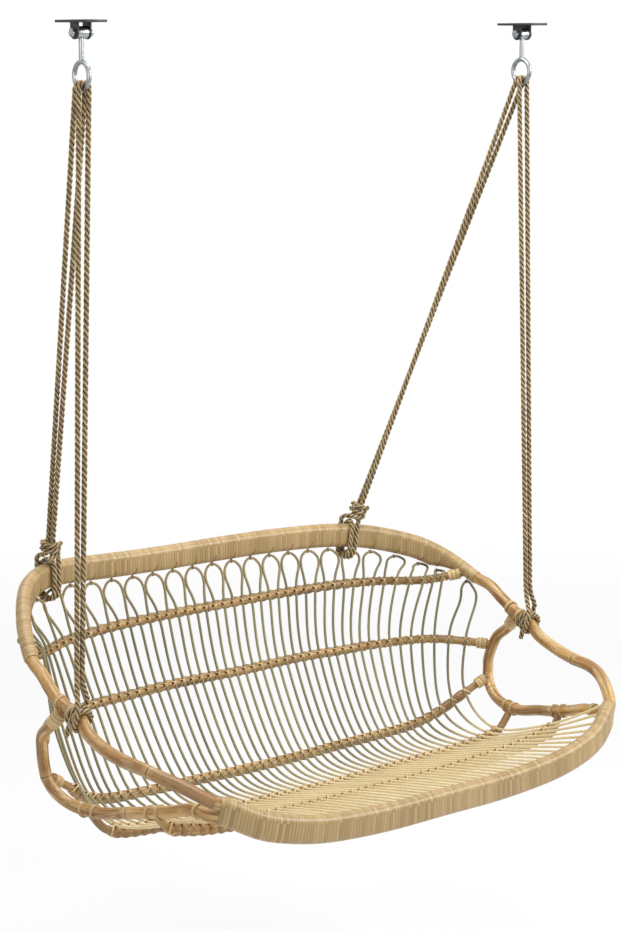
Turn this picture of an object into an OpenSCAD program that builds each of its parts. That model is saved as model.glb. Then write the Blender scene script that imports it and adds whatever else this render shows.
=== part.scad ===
// Hanging rattan bench: a bent pole frame with a fan of hairpin rods, hung by four doubled jute ropes
// from two ceiling hangers. Millimetres, +Z up, +X to the right as seen from the front, +Y to the back.
// The origin is the centre of the four ceiling screws, on the ceiling plane.

/* [Overall] */
// Half the distance between the two front hitches, at the centre of the arm poles
half_span = 610; // [500:5:760]
// Depth that the frame's side view is drawn to, from the front rail to the top rail
frame_depth = 800; // [700:5:900]
// Height that the frame's side view is drawn to, from the seat's lowest rail to the top rail
frame_height = 480; // [430:5:540]
// Drop from the ceiling to the front hitches
hitch_drop = 1360; // [1200:5:1600]
// Distance of the front hitches in front of the pivot pins
hitch_forward = 41; // [35:1:50]
// Distance of the bench's middle to the left of the hangers' middle
hitch_aside = 23; // [0:1:30]

/* [Poles] */
// Diameter of the hoop pole: top rail, arms and front rail
pole_d = 27; // [24:0.5:30]
// Diameter of the second pole under the top rail
top_second_d = 22; // [18:0.5:25]
// Diameter of the side frames and of the second pole under the front rail
side_d = 25; // [20:0.5:27]
// Diameter of the cross rails
rail_d = 20; // [16:0.5:22]
// Thickness of the flat cane wound on the top and front rails
cane_t = 1.5; // [1:0.1:2.5]

/* [Hairpin rods] */
// Number of hairpins, each with two legs
hairpin_count = 24; // [16:2:28]
// Diameter of a hairpin rod
rod_d = 6; // [4:0.5:7]

/* [Ropes] */
// Diameter of a rope
rope_d = 12; // [12:0.5:12.5]
// Turns of rope round an arm at each front hitch
hitch_turns = 3; // [2:1:3]
// Turns of rope round the top rail at each rear hitch
rear_turns = 2; // [1:1:3]

/* [Ceiling hangers] */
// Length of a bracket's plate, front to back
plate_l = 110; // [100:1:130]
// Width of a bracket's plate
plate_w = 48; // [44:1:60]
// Thickness of a bracket's plate
plate_t = 5; // [4:0.5:8]
// Distance between a bracket's two screw holes
screw_spacing = 84; // [78:1:90]
// Diameter of a screw hole
screw_hole_d = 8.5; // [6:0.5:10]
// Distance between the two hangers
hanger_span = 1150; // [1100:5:1200]
// Drop from the ceiling to the pivot pin
pin_drop = 24; // [23:0.5:28]
// Diameter of the pivot pin
pin_d = 10; // [8:0.5:12]
// Thickness of a bracket's ear
ear_t = 4; // [3:0.5:6]
// Width of the gap between the ears
ear_gap = 24; // [20:0.5:26]
// Diameter of the swing eye's wire
eye_wire_d = 10; // [8:0.5:10]
// Inside diameter of the swing eye's ring
eye_inner_d = 42; // [40:1:46]
// Drop from the ceiling to the middle of the ring
eye_drop = 105; // [95:1:120]

/* [Hidden] */

RATTAN = "#c79a5e";
CANE = "#d8b98a";
ROD = "#d9b98c";
JUTE = "#8a6a48";
STEEL = "#8c9094";

clear = 0.3;
run_clear = 0.05;
over = 1;
rail_steps = 2;
curve_steps = 2;
pole_sides = 8;
rail_sides = 8;
rod_sides = 5;
collar_sides = 8;
rope_sides = 8;
winding_sides = 6;
loop_steps = 24;
fine = 48;

// The hitches' level, which the frame's shares are measured from
chair_at = [-hitch_aside, -hitch_forward, -hitch_drop];

// Places along the frame, as shares of the frame's size, from the hitches' level
top_right_shares = [[0, 0.46, 0.403], [0.25, 0.458, 0.398], [0.49, 0.452, 0.382], [0.655, 0.44, 0.354],
    [0.787, 0.411, 0.314], [0.885, 0.373, 0.27], [0.956, 0.33, 0.223], [0.995, 0.284, 0.181],
    [1.01, 0.23, 0.14]];
top_left_shares = [[0, 0.46, 0.403], [-0.25, 0.462, 0.403], [-0.5, 0.458, 0.412], [-0.664, 0.449, 0.424],
    [-0.79, 0.423, 0.427], [-0.89, 0.38, 0.396], [-0.952, 0.326, 0.341], [-0.99, 0.27, 0.26],
    [-1.01, 0.215, 0.172]];
arm_right_shares = [[1.01, 0.23, 0.14], [1.012, 0.172, 0.119], [1.013, 0.122, 0.071], [1.013, 0.09, 0.044],
    [1.007, 0.052, 0.023], [1.003, 0, 0], [1.003, -0.046, -0.058], [1, -0.115, -0.094],
    [0.99, -0.19, -0.113], [0.98, -0.262, -0.118], [0.964, -0.312, -0.131], [0.936, -0.357, -0.15],
    [0.902, -0.4, -0.181], [0.869, -0.432, -0.208]];
arm_left_shares = [[-1.01, 0.215, 0.172], [-1.012, 0.162, 0.125], [-1.013, 0.122, 0.077],
    [-1.013, 0.09, 0.046], [-1.007, 0.052, 0.023], [-1.003, 0, 0], [-1.003, -0.046, -0.058],
    [-1, -0.115, -0.094],
    [-0.99, -0.19, -0.113], [-0.98, -0.262, -0.118], [-0.964, -0.312, -0.131], [-0.936, -0.357, -0.15],
    [-0.902, -0.4, -0.181], [-0.869, -0.432, -0.208]];
front_shares = [[0, -0.51, -0.375], [0.25, -0.506, -0.378], [0.475, -0.504, -0.36], [0.623, -0.5, -0.326],
    [0.738, -0.483, -0.283], [0.831, -0.45, -0.222], [0.869, -0.432, -0.208]];
low_count = 6;
low_corner_shares = [[0.87, -0.408, -0.272], [0.873, -0.37, -0.27]];
side_shares = [[1.026, 0.066, -0.035], [1.03, 0.104, -0.07], [1.026, 0.149, -0.133], [1.015, 0.166, -0.206],
    [1.008, 0.172, -0.256], [1.005, 0.17, -0.296], [1, 0.165, -0.338], [0.989, 0.143, -0.388],
    [0.974, 0.103, -0.421], [0.959, 0.051, -0.433], [0.938, -0.024, -0.423], [0.921, -0.111, -0.385],
    [0.905, -0.183, -0.356], [0.89, -0.269, -0.315], [0.878, -0.33, -0.28], [0.873, -0.37, -0.27]];
upper_shares = [[0, 0.438, 0.14], [0.197, 0.438, 0.14], [0.352, 0.436, 0.138], [0.525, 0.431, 0.133],
    [0.71, 0.412, 0.121], [0.87, 0.344, 0.119], [0.967, 0.278, 0.125]];
middle_shares = [[0, 0.382, -0.171], [0.175, 0.384, -0.169], [0.328, 0.384, -0.169], [0.485, 0.378, -0.173],
    [0.656, 0.364, -0.173], [0.864, 0.3, -0.167], [0.984, 0.206, -0.154]];
lower_shares = [[0, 0.22, -0.552], [0.161, 0.222, -0.552], [0.311, 0.224, -0.548], [0.541, 0.222, -0.542],
    [0.705, 0.231, -0.538], [0.82, 0.219, -0.492], [0.893, 0.188, -0.417], [0.967, 0.152, -0.323]];
seat_rear_shares = [[0, 0.025, -0.6], [0.246, 0.025, -0.594], [0.492, 0.025, -0.588], [0.689, 0.025, -0.577],
    [0.82, 0.025, -0.56], [0.893, 0.025, -0.525], [0.93, 0.025, -0.485]];
seat_front_shares = [[0, -0.222, -0.496], [0.246, -0.222, -0.494], [0.492, -0.222, -0.484],
    [0.689, -0.222, -0.464], [0.803, -0.222, -0.438], [0.858, -0.222, -0.415], [0.886, -0.222, -0.39]];

// Where the wound top rail narrows to a single pole towards its ends
taper_end_share = 1;
taper_share = 0.08;
least_taper_share = 0.02;

// Spacing of the legs where the arches are widest: the rods spread over this share of the bench's half width
reach_share = 1.0505;
arch_pitch = half_span * reach_share / hairpin_count;
// Spacing of the legs at each rail and at the front, as shares of the spacing at the arches
upper_pitch_share = 0.959;
middle_pitch_share = 0.895;
lower_pitch_share = 0.85;
seat_rear_pitch_share = 0.825;
seat_front_pitch_share = 0.81;
front_pitch_share = 0.79;
// How far the legs and arches are shifted outward: places across the frame, and shifts, as shares of its half
left_spread_shares = [[0.33, 0], [0.66, 0.012], [0.83, 0.016], [0.9, 0], [1, -0.06]];
right_spread_shares = [[0.57, 0], [0.92, 0.035], [1, 0.04]];
right_top_spread_shares = [[0.33, 0], [0.66, 0.03], [0.735, 0.038], [0.83, 0.05], [0.87, 0.035], [0.92, 0.02],
    [0.985, -0.025], [1.01, -0.018]];
// Angle between the back direction and the side of each rail that the rods lie on
upper_lean = 16;
middle_lean = 28;
lower_lean = 54;
seat_rear_lean = 95;
seat_front_lean = 104;
// Shape of an arch, from the first rail up to its apex
apex_forward = 3;
straight_steps = 8;
forward_share = 0.9;
drop_from_share = 0.96;
front_level = 5;
slope_drop_share = 0.25;
wrap_share = 0.55;
drop_share = 0.2;
bulge_share = 0.64;
shoulder_out_share = 0.72;
shoulder_up_share = 0.72;

// Cane ties and wraps
tie_w = 5;
tie_t = 1.2;
tie_turn = 40;
arch_tie_w = 4;
wrap_t = 4;
end_gap = 1.5;
end_clear = 3.2;
end_legs = 4;
binding_w = 5;
binding_t = 2;
binding_gap = 12;
joint_ring_w = 8;
arm_ring_w = 7;

// Ropes: the two of a side hang on one ring, side by side, each with a strand on both sides of the wire
strand_x = rope_d / 2 + eye_wire_d / 2 + clear;
strand_y = rope_d / 2 + clear;
ring_r = (eye_inner_d + eye_wire_d) / 2;
saddle_z = -eye_drop - sqrt(pow(eye_inner_d / 2 - rope_d / 2 - clear, 2) - strand_y * strand_y);
hitch_slack = 2;
under = 18;
gather = 70;
bend_steps = 8;
rear_hitch_left_x = -470;
rear_hitch_right_x = 360;
tie_corner_share = 0.09;
hitch_index = 5;
knot_turns = 2;
knot_rise = 78;
knot_reach = 20;
straight_up_share = 1.5;
knot_tail_l = 32;
knot_stub_l = 14;
head_d = 18;
head_t = 7;
run_off = 3;
boss_r = 12;
wall_in = 3;
corner_steps = 1;

// Vector and list helpers
function unit(v) = v / norm(v);
function sized(shares) = [for (s = shares) [s[0] * half_span, s[1] * frame_depth, s[2] * frame_height]];
function flip(points) = [for (p = points) [-p[0], p[1], p[2]]];
function reversed(list) = [for (i = [len(list) - 1 : -1 : 0]) list[i]];
function part_of(list, first, last) = [for (i = [first : last]) list[i]];
function tail(list) = part_of(list, 1, len(list) - 1);
function both(points) = concat(reversed(flip(points)), tail(points));
function raised(points, rise) = [for (p = points) p + [0, 0, rise]];

// Smooth curve through points, with a number of steps to each span
function spline_at(a, b, c, d, t) = (2 * b + (c - a) * t + (2 * a - 5 * b + 4 * c - d) * t * t
    + (3 * b - a - 3 * c + d) * t * t * t) / 2;
function spline(points, steps) = let(last = len(points) - 1) concat(
    [for (i = [0 : last - 1]) for (k = [0 : steps - 1])
        spline_at(points[max(i - 1, 0)], points[i], points[i + 1], points[min(i + 2, last)], k / steps)],
    [points[last]]);

// Direction of travel at each point, and side vectors: kept level, or carried along without twist
function headings(points) = let(last = len(points) - 1)
    [for (i = [0 : last]) unit(points[min(i + 1, last)] - points[max(i - 1, 0)])];
function level_sides(h) = [for (v = h) unit(cross(v, [0, 0, 1]))];
function carried_sides(h) = [for (i = 0, s = unit(cross(h[0], abs(h[0][2]) < 0.9 ? [0, 0, 1] : [0, 1, 0]));
    i < len(h); i = i + 1, s = i < len(h) ? unit(s - (s * h[i]) * h[i]) : s) s];

// One coordinate of a left-to-right path at a given x
function along(path, axis, x) = lookup(x, [for (p = path) [p[0], p[axis]]]);

// Nearest place on a path: distance, point and direction
function on_segment(p, a, b) = let(t = max(0, min(1, (p - a) * (b - a) / ((b - a) * (b - a)))))
    let(q = a + t * (b - a)) [norm(p - q), q, unit(b - a)];
function nearest(p, path) = let(all = [for (i = [0 : len(path) - 2]) on_segment(p, path[i], path[i + 1])])
    let(best = min([for (n = all) n[0]])) [for (n = all) if (n[0] == best) n][0];
// Where a rail's end sits square against a pole: its point, and the direction into the pole
function seat(p, pole, radius) = let(n = nearest(p, pole), d = p - n[1])
    let(away = unit(d - (d * n[2]) * n[2])) [n[1] + away * (radius + clear), -away];

// A closed tube from its rings of points
module skin(rings, sides) {
    base = (len(rings) - 1) * sides;
    walls = [for (i = [0 : len(rings) - 2]) for (k = [0 : sides - 1]) for (half = [0, 1])
        let(a = i * sides + k, b = i * sides + (k + 1) % sides)
        half == 0 ? [a, b, a + sides] : [b, b + sides, a + sides]];
    caps = concat([for (k = [1 : sides - 2]) [0, k + 1, k]],
        [for (k = [1 : sides - 2]) [base, base + k, base + k + 1]]);
    polyhedron([for (r = rings) for (p = r) p], concat(walls, caps), convexity = 10);
}
function ring(c, s, h, radius, sides) = [for (k = [0 : sides - 1])
    c + radius * (cos(360 * k / sides) * s + sin(360 * k / sides) * cross(s, h))];
module tube(path, radius, sides, h, s) skin([for (i = [0 : len(path) - 1])
    ring(path[i], s[i], h[i], radius, sides)], sides);
module plain_tube(path, radius, sides)
    tube(path, radius, sides, headings(path), carried_sides(headings(path)));

// A hollow sleeve round one pole, or round two stacked poles whose centres are the two paths
module sleeve(high, low, s, h, inner, outer, sides) {
    n = len(high);
    half = sides / 2;
    function spoke(i, a) = cos(a) * s[i] + sin(a) * cross(s[i], h[i]);
    function oval(i, radius) = concat(
        [for (k = [0 : half]) high[i] + radius * spoke(i, 180 * k / half)],
        [for (k = [half : sides]) low[i] + radius * spoke(i, 180 * k / half)]);
    stacked = norm(high[0] - low[0]) + norm(high[floor(n / 2)] - low[floor(n / 2)]) > 0;
    count = stacked ? sides + 2 : sides;
    function loop(i, radius) = stacked ? oval(i, radius) : ring(high[i], s[i], h[i], radius, sides);
    points = concat([for (i = [0 : n - 1]) for (p = loop(i, outer)) p],
        [for (i = [0 : n - 1]) for (p = loop(i, inner)) p]);
    inside = n * count;
    walls = [for (i = [0 : n - 2]) for (k = [0 : count - 1]) for (piece = [0 : 3])
        let(a = i * count + k, b = i * count + (k + 1) % count)
        piece == 0 ? [a, b, a + count] : piece == 1 ? [b, b + count, a + count]
        : piece == 2 ? [a + inside, a + inside + count, b + inside]
        : [b + inside, a + inside + count, b + inside + count]];
    far = (n - 1) * count;
    ends = [for (k = [0 : count - 1]) for (piece = [0 : 3]) let(a = k, b = (k + 1) % count)
        piece == 0 ? [a, a + inside, b] : piece == 1 ? [b, a + inside, b + inside]
        : piece == 2 ? [a + far, b + far, a + far + inside]
        : [b + far, b + far + inside, a + far + inside]];
    polyhedron(points, concat(walls, ends), convexity = 10);
}

// The hoop of the thickest pole: left arm, top rail and right arm, then the front rail
function taper(x) = max(0, min(1, (taper_end_share - abs(x) / half_span) / taper_share));
top_mid = concat(reversed(sized(top_left_shares)), tail(sized(top_right_shares)));
top_rise = (top_second_d + clear) / 2;
top_fall = (pole_d + clear) / 2;
top_high = [for (p = top_mid) p + [0, 0, top_rise * taper(p[0])]];
top_low = [for (p = top_mid) p - [0, 0, top_fall * taper(p[0])]];
arm_left_points = sized(arm_left_shares);
arm_right_points = sized(arm_right_shares);
front_points = both(sized(front_shares));
arm_last = len(arm_right_points) - 1;
hoop = spline(concat([front_points[1]], reversed(arm_left_points), tail(top_high), tail(arm_right_points),
    [front_points[len(front_points) - 2]]), curve_steps);
hoop_h = headings(hoop);
hoop_s = level_sides(hoop_h);
arm_left_range = [1, 1 + arm_last] * curve_steps;
top_range = [1 + arm_last, arm_last + len(top_mid)] * curve_steps;
arm_right_range = [arm_last + len(top_mid), 2 * arm_last + len(top_mid)] * curve_steps;
front_line = spline(concat([arm_left_points[arm_last - 1]], front_points, [arm_right_points[arm_last - 1]]),
    curve_steps);
front_h = headings(front_line);
front_s = level_sides(front_h);
front_range = [1, len(front_points)] * curve_steps;

// The second top pole, under the hoop where the band is at its full height
top_high_line = part_of(hoop, top_range[0], top_range[1]);
top_high_h = part_of(hoop_h, top_range[0], top_range[1]);
function fall(i) = (top_rise + top_fall) / sqrt(1 - top_high_h[i][2] * top_high_h[i][2]);
top_second_line = [for (i = [0 : len(top_high_line) - 1]) if (taper(abs(top_high_line[i][0]) + pole_d) == 1)
    top_high_line[i] - [0, 0, fall(i)]];
top_band_low = [for (i = [0 : len(top_high_line) - 1])
    top_high_line[i] - [0, 0, fall(i) * max(taper(top_high_line[i][0]), least_taper_share)]];

// The side frames, and the second front pole between them
front_gap = (pole_d + side_d) / 2 + 3 * clear;
side_points = sized(side_shares);
side_last = len(side_points) - 1;
function steep(p, i) = let(d = p[i + 1] - p[max(i - 1, 0)]) norm(d) / norm([d[0], d[1]]);
low_half = let(p = sized(front_shares))
    concat([for (i = [0 : low_count - 1]) p[i] - [0, 0, front_gap * steep(p, i)]], sized(low_corner_shares));
low_points = both(low_half);
low_line = spline(concat([flip(side_points)[side_last - 1]], low_points, [side_points[side_last - 1]]),
    curve_steps);
low_h = headings(low_line);
low_s = level_sides(low_h);
low_range = [1, len(low_points)] * curve_steps;
function side_line(points) = let(start = seat(points[0], hoop, pole_d / 2))
    [spline(concat([start[0]], tail(points)), curve_steps), start[1]];
side_right = side_line(side_points);
side_left = side_line(flip(side_points));
function side_h(side, last_h) = let(h = headings(side[0]))
    concat([-side[1]], part_of(h, 1, len(h) - 2), [last_h]);

// A slice of a line, each end drawn back a little so that the next pole meets it face to face
function drawn_back(path, h, range) = [for (i = [range[0] : range[1]])
    path[i] + (i == range[0] ? clear : i == range[1] ? -clear : 0) * h[i]];
module pole(path, h, s, range, diameter) tube(drawn_back(path, h, range), diameter / 2, pole_sides,
    part_of(h, range[0], range[1]), part_of(s, range[0], range[1]));

// A cross rail, each end seated square against a pole: its line and the directions of its ends
function rail(shares, left_pole, right_pole, radius) = let(p = both(sized(shares)), last = len(p) - 1)
    let(a = seat(p[0], left_pole, radius), b = seat(p[last], right_pole, radius))
    let(line = spline(concat([a[0]], part_of(p, 1, last - 1), [b[0]]), rail_steps), h = headings(line))
    [line, concat([-a[1]], part_of(h, 1, len(h) - 2), [b[1]])];
rails = [rail(upper_shares, hoop, hoop, pole_d / 2 + cane_t + clear),
    rail(middle_shares, side_left[0], side_right[0], side_d / 2),
    rail(lower_shares, side_left[0], side_right[0], side_d / 2),
    rail(seat_rear_shares, side_left[0], side_right[0], side_d / 2),
    rail(seat_front_shares, side_left[0], side_right[0], side_d / 2)];
leans = [upper_lean, middle_lean, lower_lean, seat_rear_lean, seat_front_lean];
rail_pitches = arch_pitch * [upper_pitch_share, middle_pitch_share, lower_pitch_share,
    seat_rear_pitch_share, seat_front_pitch_share, front_pitch_share];
module side_pole(side, last_h) {
    h = side_h(side, last_h);
    n = len(h) - 1;
    path = concat(part_of(side[0], 0, n - 1), [side[0][n] - last_h * clear]);
    tube(path, side_d / 2, pole_sides, h, carried_sides(h));
}
module cross_rail(r) tube(r[0], rail_d / 2, rail_sides, r[1], level_sides(r[1]));

// Leg j, counted from the middle, stands this far across the frame
function drawn(x, spread) = x + lookup(x / half_span, spread) * half_span;
function spread_at(side, level) = side < 0 ? left_spread_shares : level == 0 ? right_top_spread_shares
    : right_spread_shares;
function leg_x(level, side, j) = drawn((j - 1 / 2) * rail_pitches[level], spread_at(side, level));
function outward(level) = [0, -cos(leans[level]), sin(leans[level])];
function rail_place(level, x) = let(line = rails[level][0]) [x, along(line, 1, x), along(line, 2, x)];
function rail_heading(level, x) = unit(rail_place(level, x + rail_d) - rail_place(level, x - rail_d));
function square_off(level, x) = let(n = outward(level), h = rail_heading(level, x)) unit(n - (n * h) * h);
function on_rail(level, side, j, off) = let(x = side * leg_x(level, side, j))
    rail_place(level, x) + off * square_off(level, x);
// The last legs tied to the first rail stand further and further off the rail's curved end
function leg_on(level, side, j) = on_rail(level, side, j, (rail_d + rod_d) / 2 + clear
    + (level == 0 ? end_clear * max(0, 1 - (tied(level, side) - j) / end_legs) : 0));
function foot(side, j) = let(x = side * leg_x(front_level, side, j), r = pole_d / 2 + cane_t + 2 * clear)
    let(slope = abs(along(front_line, 1, x + pole_d) - along(front_line, 1, x - pole_d)) / (2 * pole_d))
    [x, along(front_line, 1, x) + r * sqrt(1 + slope * slope) + rod_d / 2 * slope,
        along(front_line, 2, x)];
// Arch m stands between two borders, and its apex hangs just under the wound top rail
function border(side, m) = drawn(2 * m * arch_pitch, spread_at(side, 0));
function half_width(side, m) = (border(side, m) - border(side, m - 1)) / 2;
function apex(side, m) = let(x = side * (border(side, m - 1) + border(side, m)) / 2)
    let(beyond = max(0, abs(x) - drop_from_share * half_span))
    let(near = along(top_band_low, 2, x - pole_d), far = along(top_band_low, 2, x + pole_d))
    [x, along(top_mid, 1, x) - apex_forward - (side > 0 ? beyond * forward_share : 0),
        along(top_band_low, 2, x) - (pole_d + rod_d) / 2 - cane_t - 2 * clear - tie_t
        - beyond * drop_share - abs(far - near) * slope_drop_share];
// The last arch on the right stands outside the end of the first rail
function top_level(side, m) = side > 0 && m == arches_a_side ? 1 : 0;
function bulge(side, m, j) = let(t = apex(side, m), r = leg_on(top_level(side, m), side, j))
    let(out = side * (j % 2 == 0 ? 1 : -1))
    [t[0] + out * (half_width(side, m) - rod_d / 2 - clear / 2),
        r[1] + (t[1] - r[1]) * bulge_share, r[2] + (t[2] - r[2]) * bulge_share];
function shoulder(side, m, j) = let(t = apex(side, m), b = bulge(side, m, j))
    [t[0] + (b[0] - t[0]) * shoulder_out_share,
        b[1] + (t[1] - b[1]) * shoulder_up_share, b[2] + (t[2] - b[2]) * shoulder_up_share];
function leg(side, m, j) = concat([foot(side, j)],
    [for (level = [4 : -1 : top_level(side, m)]) leg_on(level, side, j)],
    [bulge(side, m, j), shoulder(side, m, j)]);
function hairpin(side, m) = let(all = spline(concat(leg(side, m, 2 * m - 1), [apex(side, m)],
    reversed(leg(side, m, 2 * m))), curve_steps), last = len(all) - 1)
    [for (i = [0 : last]) if (min(i, last - i) % 2 == 0 || min(i, last - i) > straight_steps) all[i]];
arches_a_side = hairpin_count / 2;
third = round(hairpin_count / 3);
// Hairpin number n, counted from the left end
module hairpin_rod(n) {
    m = n < arches_a_side ? arches_a_side - n : n - arches_a_side + 1;
    plain_tube(hairpin(n < arches_a_side ? -1 : 1, m), rod_d / 2, rod_sides);
}
module hairpins(first, last) color(ROD) for (n = [first : last]) hairpin_rod(n);

// A flat cane tie turned across one crossing of a rod and a rail, closed round both
module tie(at, heading, normal) {
    run = cross(normal, heading);
    up = cos(tie_turn) * run + sin(tie_turn) * heading;
    through = cross(normal, up);
    deep = rail_d / 2 + 2 * clear;
    high = deep / cos(tie_turn);
    front = rail_d / 2 + rod_d + 3 * clear;
    half = rod_d / 2 / sin(tie_turn) + 2 * clear;
    inner = [[-deep, -high * tan(30)], [0, -high / cos(30)], [front, -half], [front, half],
        [0, high / cos(30)], [-deep, high * tan(30)]];
    multmatrix([[normal[0], up[0], through[0], at[0]], [normal[1], up[1], through[1], at[1]],
        [normal[2], up[2], through[2], at[2]], [0, 0, 0, 1]])
        translate([0, 0, -tie_w / 2]) linear_extrude(tie_w) difference() {
            polygon([for (p = inner) p * (1 + tie_t / norm(p))]);
            polygon(inner);
        }
}
function tied(level, side) = hairpin_count - (side > 0 && level == 0 ? 2 : 0);
module ties(level) color(CANE) for (side = [-1, 1]) for (j = [1 : tied(level, side)]) {
    x = side * leg_x(level, side, j);
    tie(rail_place(level, x), rail_heading(level, x), square_off(level, x));
}
// A loop of cane through the wrap round each apex
module arch_tie_set() color(CANE) for (side = [-1, 1]) for (m = [1 : arches_a_side]) {
    translate(apex(side, m)) rotate([0, 90, 0]) rotate_extrude($fn = fine)
        translate([rod_d / 2 + clear + tie_t / 2, 0]) square([tie_t, arch_tie_w], center = true);
}

// Collars of wound cane on the ends of the rails and of the side frame
module collar(line, h, s, first, diameter, share = 1) {
    d = line[first + 1] - line[first];
    off = unit(d) * end_gap;
    last = line[first + 1];
    c = first == 0 ? [line[0] + off, line[0] + share * d] : [last - share * d, last - off];
    sleeve(c, c, part_of(s, first, first + 1), part_of(h, first, first + 1),
        diameter / 2 + 2 * clear, diameter / 2 + wrap_t, collar_sides);
}
module joint_wraps(from_start) color(CANE) {
    side = from_start ? side_left : side_right;
    for (r = part_of(rails, 0, 2))
        collar(r[0], r[1], level_sides(r[1]), from_start ? 0 : len(r[0]) - 2, rail_d, wrap_share);
    h = concat([-side[1]], tail(headings(side[0])));
    collar(side[0], h, carried_sides(h), 0, side_d);
    n = nearest(side[0][0], hoop);
    for (away = [-1, 1])
        ring_on(n[1], n[2], away * (side_d / 2 + wrap_t + arm_ring_w / 2), pole_d, arm_ring_w);
}
// A ring of cane round a pole, at a distance from a place on it
module ring_on(at, way, off, diameter, wide) {
    c = [for (k = [-1, 1]) at + way * (off + k * wide / 2)];
    h = headings(c);
    inner = diameter / 2 + 4 * clear;
    sleeve(c, c, carried_sides(h), h, inner, inner + binding_t, collar_sides);
}
// Rings on the side frame, on both sides of each seat rail's end and over its joint with the second
// front pole
module side_bindings(x) color(CANE) {
    line = x < 0 ? side_left[0] : side_right[0];
    for (level = [3, 4]) for (away = [-1, 1]) {
        rail_line = rails[level][0];
        n = nearest(x < 0 ? rail_line[0] : rail_line[len(rail_line) - 1], line);
        ring_on(n[1], n[2], away * (rail_d / 2 + binding_gap / 2), side_d, binding_w);
    }
    ring_on(line[len(line) - 1], x < 0 ? low_h[low_range[0]] : low_h[low_range[1]], 0, side_d, joint_ring_w);
}

// Ceiling hangers
module bracket(x) color(STEEL) difference() {
    union() {
        translate([x - plate_w / 2, -plate_l / 2, -plate_t]) cube([plate_w, plate_l, plate_t]);
        for (s = [-1, 1]) translate([x + s * (ear_gap + ear_t) / 2 - ear_t / 2, 0, 0]) {
            translate([0, -ear_r, -pin_drop]) cube([ear_t, 2 * ear_r, pin_drop - plate_t]);
            translate([0, 0, -pin_drop]) rotate([0, 90, 0]) cylinder(r = ear_r, h = ear_t, $fn = fine);
        }
    }
    for (s = [-1, 1]) translate([x, s * screw_spacing / 2, -plate_t - over])
        cylinder(d = screw_hole_d, h = plate_t + 2 * over, $fn = fine);
    translate([x - ear_gap / 2 - ear_t - over, 0, -pin_drop]) rotate([0, 90, 0])
        cylinder(d = pin_d + 2 * run_clear, h = ear_gap + 2 * ear_t + 2 * over, $fn = fine);
}
ear_r = pin_d / 2 + 8;
module bolt(x) color(STEEL) translate([x - ear_gap / 2 - ear_t - head_t, 0, -pin_drop]) rotate([0, 90, 0]) {
    cylinder(d = head_d, h = head_t, $fn = 6);
    cylinder(d = pin_d, h = head_t + ear_gap + 2 * ear_t + head_t + run_off, $fn = fine);
}
module nut(x) color(STEEL) translate([x + ear_gap / 2 + ear_t, 0, -pin_drop]) rotate([0, 90, 0])
    difference() {
    cylinder(d = head_d, h = head_t, $fn = 6);
    translate([0, 0, -over]) cylinder(d = pin_d + 2 * run_clear, h = head_t + 2 * over, $fn = fine);
}
module eye(x) color(STEEL) translate([x, 0, 0]) {
    difference() {
        translate([-ear_gap / 2 + clear, 0, -pin_drop]) rotate([0, 90, 0])
            cylinder(r = boss_r, h = ear_gap - 2 * clear, $fn = fine);
        translate([-ear_gap / 2, 0, -pin_drop]) rotate([0, 90, 0])
            cylinder(d = pin_d + 2 * run_clear, h = ear_gap, $fn = fine);
    }
    translate([0, 0, -eye_drop + ring_r])
        cylinder(d = eye_wire_d, h = eye_drop - ring_r - pin_drop - pin_d / 2 - wall_in, $fn = fine);
    translate([0, 0, -eye_drop]) rotate([0, 90, 0]) rotate_extrude($fn = fine)
        translate([ring_r, 0]) circle(d = eye_wire_d, $fn = fine);
}

function wound(degrees, half, radius, pitch) = let(count = round(degrees / 360 * loop_steps))
    let(wide = pitch * degrees / 360) concat([[-radius, half + rope_d, -wide / 2]],
    [for (i = [0 : count]) let(a = 180 + degrees * i / count, f = i / count - 1 / 2)
        [radius * cos(a), half * sign(round(sin(a) * loop_steps)) + radius * sin(a), wide * f]],
    [[radius * cos(180 + degrees), half + rope_d, wide / 2]]);
function placed(points, at, right, up, ahead) =
    [for (p = points) at + p[0] * right + p[1] * up + p[2] * ahead];

// A front hitch goes round the arm where the rope hangs straight down on it
hitch_radius = (pole_d + rope_d) / 2 + clear + hitch_slack;
winding_pitch = rope_d + 4 * clear;
function hoop_place(i) = [hoop[i], hoop_s[i], cross(hoop_s[i], hoop_h[i]), hoop_h[i]];
front_place_left = hoop_place((1 + arm_last - hitch_index) * curve_steps);
front_place_right = hoop_place((arm_last + len(top_mid) + hitch_index) * curve_steps);
function front_hitch_path(place) = placed(wound(360 * hitch_turns - 180, 0, hitch_radius, winding_pitch),
    place[0], place[1], place[2], place[3]);

// A rear hitch goes round the whole wound band of the top rail
rear_radius = (pole_d + rope_d) / 2 + cane_t + 2 * clear;
function band_place(x) = let(at = [x, along(hoop_top, 1, x), along(hoop_top, 2, x)], far = x + pole_d)
    let(h = unit([far, along(hoop_top, 1, far), along(hoop_top, 2, far)] - at))
    let(s = unit(cross(h, [0, 0, 1])))
    [at - [0, 0, (top_rise + top_fall + under) / 2], s, cross(s, h), h];
hoop_top = part_of(hoop, top_range[0], top_range[1]);
rear_place_left = band_place(rear_hitch_left_x);
rear_place_right = band_place(rear_hitch_right_x);
function rear_hitch_path(place) = placed(
    wound(360 * rear_turns - 180, (top_rise + top_fall + under) / 2, rear_radius, winding_pitch),
    place[0], place[1], place[2], place[3]);

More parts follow.
